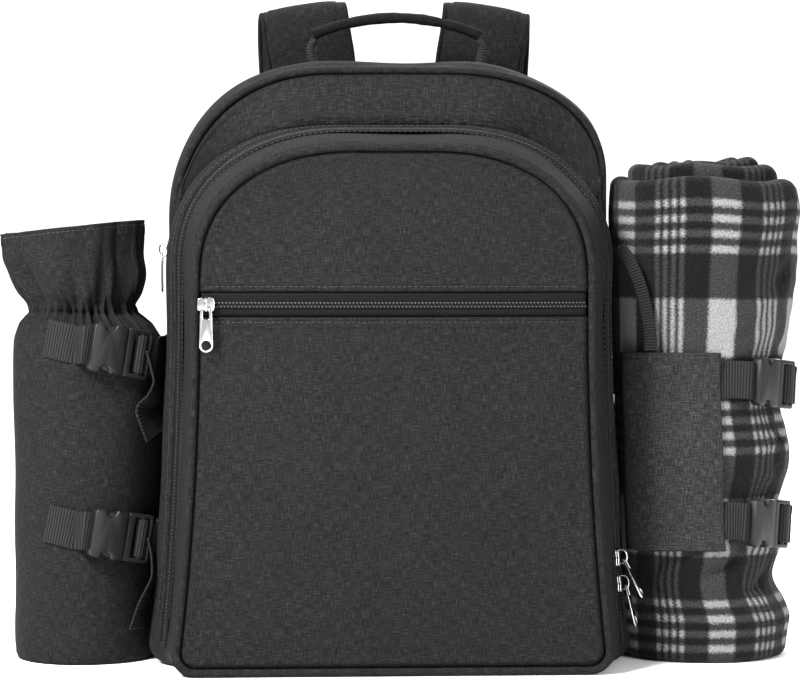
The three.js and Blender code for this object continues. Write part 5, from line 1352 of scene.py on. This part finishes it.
# webbing on edge along a route; at a buckle it runs straight in, tilted with it, and lies over the frame's bar
def webbingStrip(name, route, into=None, outOf=None):
    points, wides = [np.asarray(p, float) for p in route], [np.array([0, 0, 1.0])] * len(route)
    if into is not None:
        for step, lift in ((-5, -1.2), (-1, -1.2), (3.0, -1.2)):
            points.append(into["start"] + into["along"] * step + into["out"] * lift)
            wides.append(into["up"])
    if outOf is not None:
        for step, lift in ((5, 0.0), (1, 0.0), (-2.6, 0.6), (-4.6, 3.0), (-8.0, 3.1), (-10.6, 0.2)):
            points.insert(0, outOf["end"] + outOf["along"] * step + outOf["out"] * lift)
            wides.insert(0, outOf["up"])
    points = np.array(points)
    run = np.r_[0, np.cumsum(np.linalg.norm(np.diff(points, axis=0), axis=1))]
    count = max(30, int(run[-1] / 1.6))
    path = smoothPath(points, count)
    wide = np.stack([np.interp(np.linspace(0, run[-1], count), run, np.array(wides)[:, k]) for k in range(3)], -1)
    grid = carried(path, unit(wide), strapProfile(25, 1.6, 12, 6))
    return addSurface(name, grid, looks["webbing"], around=True, caps=(True, True), replaced=name)


def onRoll(centre, radius, angle):
    a = np.radians(angle)
    return np.asarray(centre, float) + radius * np.array([math.sin(a), -math.cos(a), 0])


fastenings = {
    "pouchAngle": 29, "pouchDip": 10, "blanketAngle": 47, "blanketDip": 6, "seat": 1.1,
    "pouchHeights": {"upper": 206, "lower": 85}, "blanketHeights": {"upper": 184, "lower": 91},
    "tailDrop": {"upper": 0.9, "lower": 2.4},
    # the free ends of the pouch's straps, as shares of the webbing: aside, forward and down
    "tails": {"upper": [(0.02, -0.1, -0.7), (0.12, 0.0, -0.35), (0.2, 0.08, 0.05), (0.12, 0.14, 0.4),
                        (-0.08, 0.18, 0.72), (0.02, 0.18, 1.02), (0.2, 0.12, 1.4)],
              "lower": [(0.02, -0.1, -0.7), (0.1, 0.0, -0.3), (0.1, 0.08, 0.2), (-0.04, 0.14, 0.6),
                        (-0.18, 0.2, 0.95), (-0.26, 0.2, 1.25), (-0.34, 0.2, 1.6)]},
    # how far they turn to face the front, in degrees at shares of their length
    "turns": {"upper": [(0, 0.35, 0.6, 1), (4, 6, 26, 38)], "lower": [(0, 0.4, 0.7, 1), (3, 4, 12, 20)]},
}


def addFastenings():
    web, seat = 25, fastenings["seat"]
    for name, height in fastenings["pouchHeights"].items():
        centre = np.array([pouchX, pouch["depth"], height])
        at = buckleFrame(centre, pouch["radius"], fastenings["pouchAngle"], fastenings["pouchDip"])
        addBuckle("pouch_buckle_" + name, at)
        route = [onRoll(centre, pouch["radius"] + seat + 0.3, a) + [0, 0, 4 + 1.5 * (3 - i)]
                 for i, a in enumerate((-27, -19, -11, -3))]
        webbingStrip("pouch_patch_" + name, route, into=at)
        end = at["end"]
        wallX = sideAt(height - web / 2, -1) - seat
        held = [(wallX + 0.3 * (end[0] - wallX), bag["mainFront"] + 0.15 * (end[1] - bag["mainFront"]), end[2]),
                (wallX, bag["mainFront"] + 0.5 * web, end[2]), (wallX, bag["mainFront"] + 1.4 * web, end[2])]
        webbingStrip("pouch_strap_" + name, held, outOf=at)
        top = end[2] - buckle["width"] / 2 - fastenings["tailDrop"][name]
        tail = [(end[0] + a * web, end[1] + 1.5 - f * web, top - d * web) for a, f, d in fastenings["tails"][name]]
        path = smoothPath(tail, 60)
        turn = np.radians(np.interp(np.linspace(0, 1, 60), *fastenings["turns"][name]))
        wide = np.stack([-np.sin(turn), -np.cos(turn), 0 * turn], -1)
        grid = carried(path, wide, strapProfile(web, 1.6, 12, 6))
        addSurface("pouch_tail_" + name, grid, looks["webbing"], around=True, caps=(True, True),
                   replaced="pouch_tail_" + name)
    for name, height in fastenings["blanketHeights"].items():
        girth, middle = (float(v) for v in rollAt(np.array(float(height))))
        centre = np.array([middle, roll["depth"], height])
        at = buckleFrame(centre, girth, fastenings["blanketAngle"], fastenings["blanketDip"])
        addBuckle("blanket_buckle_" + name, at)
        face = roll["depth"] - girth * (1 - roll["pitch"] / 4 / roll["radius"])
        start = np.array([float(flapStart(height)) + flap["reach"] - 7, face - 0.9, height + 3])
        webbingStrip("blanket_strap_" + name, [start, start + [9, -0.2, 0], start + [14, -1.2, 0]], into=at)
        behind = [onRoll(centre, girth + 2 * seat, 84 + (200 - 84) * i / 8) for i in range(9)]
        anchor = np.array([sideAt(height - web / 2, 1) + seat, roll["depth"] + girth, height])
        webbingStrip("blanket_back_strap_" + name, behind + [anchor, anchor + [0, 15, 0]], outOf=at)


addFastenings()
print("fastenings made")

slider = {"length": 11, "width": 9.5, "thickness": 2.6, "lugLength": 9, "lugHeight": 4.8, "lugBar": 1,
          "lugWidth": 2, "pullLength": 28, "pullTop": 7.4, "pullEnd": 8.8, "pullThickness": 1.2, "rail": 1.2,
          "window": 7.2, "hole": 3.1}


# A slider's own directions: across, out of the cloth, and up. The body is a shield with a waist, the lug an
# arch that stands on it along up, and the pull a plate with a window and a round hole.
def addSlider(name, at, out, up, turned, tilt):
    out, up = unit(np.asarray(out, float)), np.asarray(up, float)
    up = unit(up - (up * out).sum() * out)
    across = np.cross(up, out)
    face = Matrix([[*across, 0], [*up, 0], [*out, 0], [0, 0, 0, 1]]).transposed()
    face.translation = Vector(at)
    w, h = slider["width"] / 2, slider["length"] / 2
    side = [(w * 0.72, -h), (w * 0.95, -h * 0.55), (w * 0.66, -0.5), (w, h * 0.35), (w * 0.86, h * 0.85), (w * 0.3, h)]
    shape = side + [(-x, y) for x, y in side[::-1]]
    if turned:
        shape = [(y, -x) for x, y in shape]
    for plate, low in (("_slider", 0.55), ("_slider_under", -0.9)):
        addPlate(name + plate, [shape], 1.5, 0.6, face @ Matrix.Translation((0, 0, slider["thickness"] / 2 + low)),
                 looks["nickel"], name + "_slider" if plate == "_slider" else ())
    standing = face @ Matrix.Translation((0, 0, slider["thickness"])) @ Matrix(
        ((0, 0, 1, 0), (1, 0, 0, 0), (0, 1, 0, 0), (0, 0, 0, 1)))
    angle = np.linspace(0, np.pi, 15)
    half, rise = slider["lugLength"] / 2, slider["lugHeight"]
    arch = np.stack([half * np.cos(angle), rise * 0.96 * np.sin(angle) ** 0.62], -1)
    path = np.concatenate([[[half, -0.9]], arch, [[-half, -0.9]]])
    line = np.stack([np.zeros(len(path)), path[:, 0], path[:, 1]], -1)
    placed = np.array([list(face @ Vector((0, a, b + slider["thickness"]))) for _, a, b in line])
    grid = carried(smoothPath(placed, 40), across, roundProfile(slider["lugBar"] * 0.95, 10, 0.62))
    addSurface(name + "_lug", grid, looks["nickel"], around=True, caps=(True, True))
    topHalf, endHalf = slider["pullTop"] / 2, slider["pullEnd"] / 2
    endZ = -slider["pullLength"] + endHalf
    roundEnd = [(endHalf * math.cos(a), endZ + endHalf * math.sin(a)) for a in np.linspace(np.pi, 2 * np.pi, 17)]
    body = [(-topHalf, 0.6 - 1.2), (-topHalf + 1.2, 0.6)] + [(topHalf - 1.2, 0.6), (topHalf, -0.6)] + roundEnd[::-1]
    wide = slider["lugWidth"] / 2 + 0.9
    window = boxOutline(-wide, wide, -slider["window"], -slider["rail"] / 2, 0.7)
    hole = [(slider["hole"] * math.cos(a), endZ + slider["hole"] * math.sin(a))
            for a in np.linspace(0, 2 * np.pi, 20, endpoint=False)]
    rail = Matrix.Translation((0, -0.24 * slider["lugLength"], slider["thickness"] + 0.55 * slider["lugHeight"]))
    hung = face @ rail @ Matrix.Rotation(math.radians(-tilt), 4, "X")
    addPlate(name + "_pull", [body, window, hole], slider["pullThickness"], 0.35, hung, looks["nickel"],
             name + "_pull", body=name + "_pull_body")


# where a zip's coil lies at a height on one side of a compartment, with its outward and upward directions
def coilAt(outlineAt, share, height, side):
    def spot(place):
        loop = outlineAt(np.array([place]), 0.0 - 0.5)[0]
        part = loop[(loop[:, 0] * side > 0) & (loop[:, 2] > bag["corner"] - 1)]
        part = part[np.argsort(part[:, 2])]
        return np.array([np.interp(height, part[:, 2], part[:, k]) for k in range(3)]), part
    here, part = spot(share)
    above = np.array([np.interp(height + 2, part[:, 2], part[:, k]) for k in range(3)])
    up = unit(above - here)
    across = spot(share + 0.05)[0] - spot(share - 0.05)[0]
    out = unit(np.cross(across, up))
    return here, out * np.sign(out[0] * side), up


def addSliders():
    for name, height, tilt in (("front_a", 71, 23), ("front_b", 54, 10)):
        at, out, up = coilAt(frontOutline, bag["frontZip"], height, 1)
        addSlider(name, at, out, up, False, tilt)
    at, out, up = coilAt(mainOutline, bag["rearZip"], 272, -1)
    addSlider("rear", at, out, up, False, 0)
    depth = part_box("pocket_slider")[1][1] * 1000
    addSlider("pocket", (-119, depth, pocket["height"]), (0, -1, 0), (0, 0, 1), True, 0)


addSliders()
print("zip sliders made")


def addFloor():
    look, tree, shader = newLook("paleFloor", 0.9)
    place = node(tree, "ShaderNodeTexCoord").outputs["Object"]
    tone = noise(tree, place, 3.0, 2.0)
    white = studio["floor"]
    tree.links.new(ramp(tree, tone, [(0.3, tuple(0.985 * v for v in white)), (0.7, white)]), shader.inputs["Base Color"])
    # a floor that bends up into a wall far behind
    across = np.linspace(-6000, 6000, 3)
    run = np.array([[-6000, 0], [3200, 0], *[(3200 + 1200 * math.sin(a), 1200 * (1 - math.cos(a)))
                                             for a in np.linspace(0.1, math.pi / 2, 10)], [4400, 5200]])
    grid = np.stack([np.broadcast_to(across[None], (len(run), 3)), np.broadcast_to(run[:, :1], (len(run), 3)),
                     np.broadcast_to(run[:, 1:], (len(run), 3)) - 0.2], -1)
    quads = np.array([[i * 3 + j, i * 3 + j + 1, (i + 1) * 3 + j + 1, (i + 1) * 3 + j]
                      for i in range(len(run) - 1) for j in range(2)])
    floor = putMesh("floor", grid.reshape(-1, 3), quads.ravel(), np.full(len(quads), 4))
    floor.data.materials.append(look)


addFloor()

print("scene made")
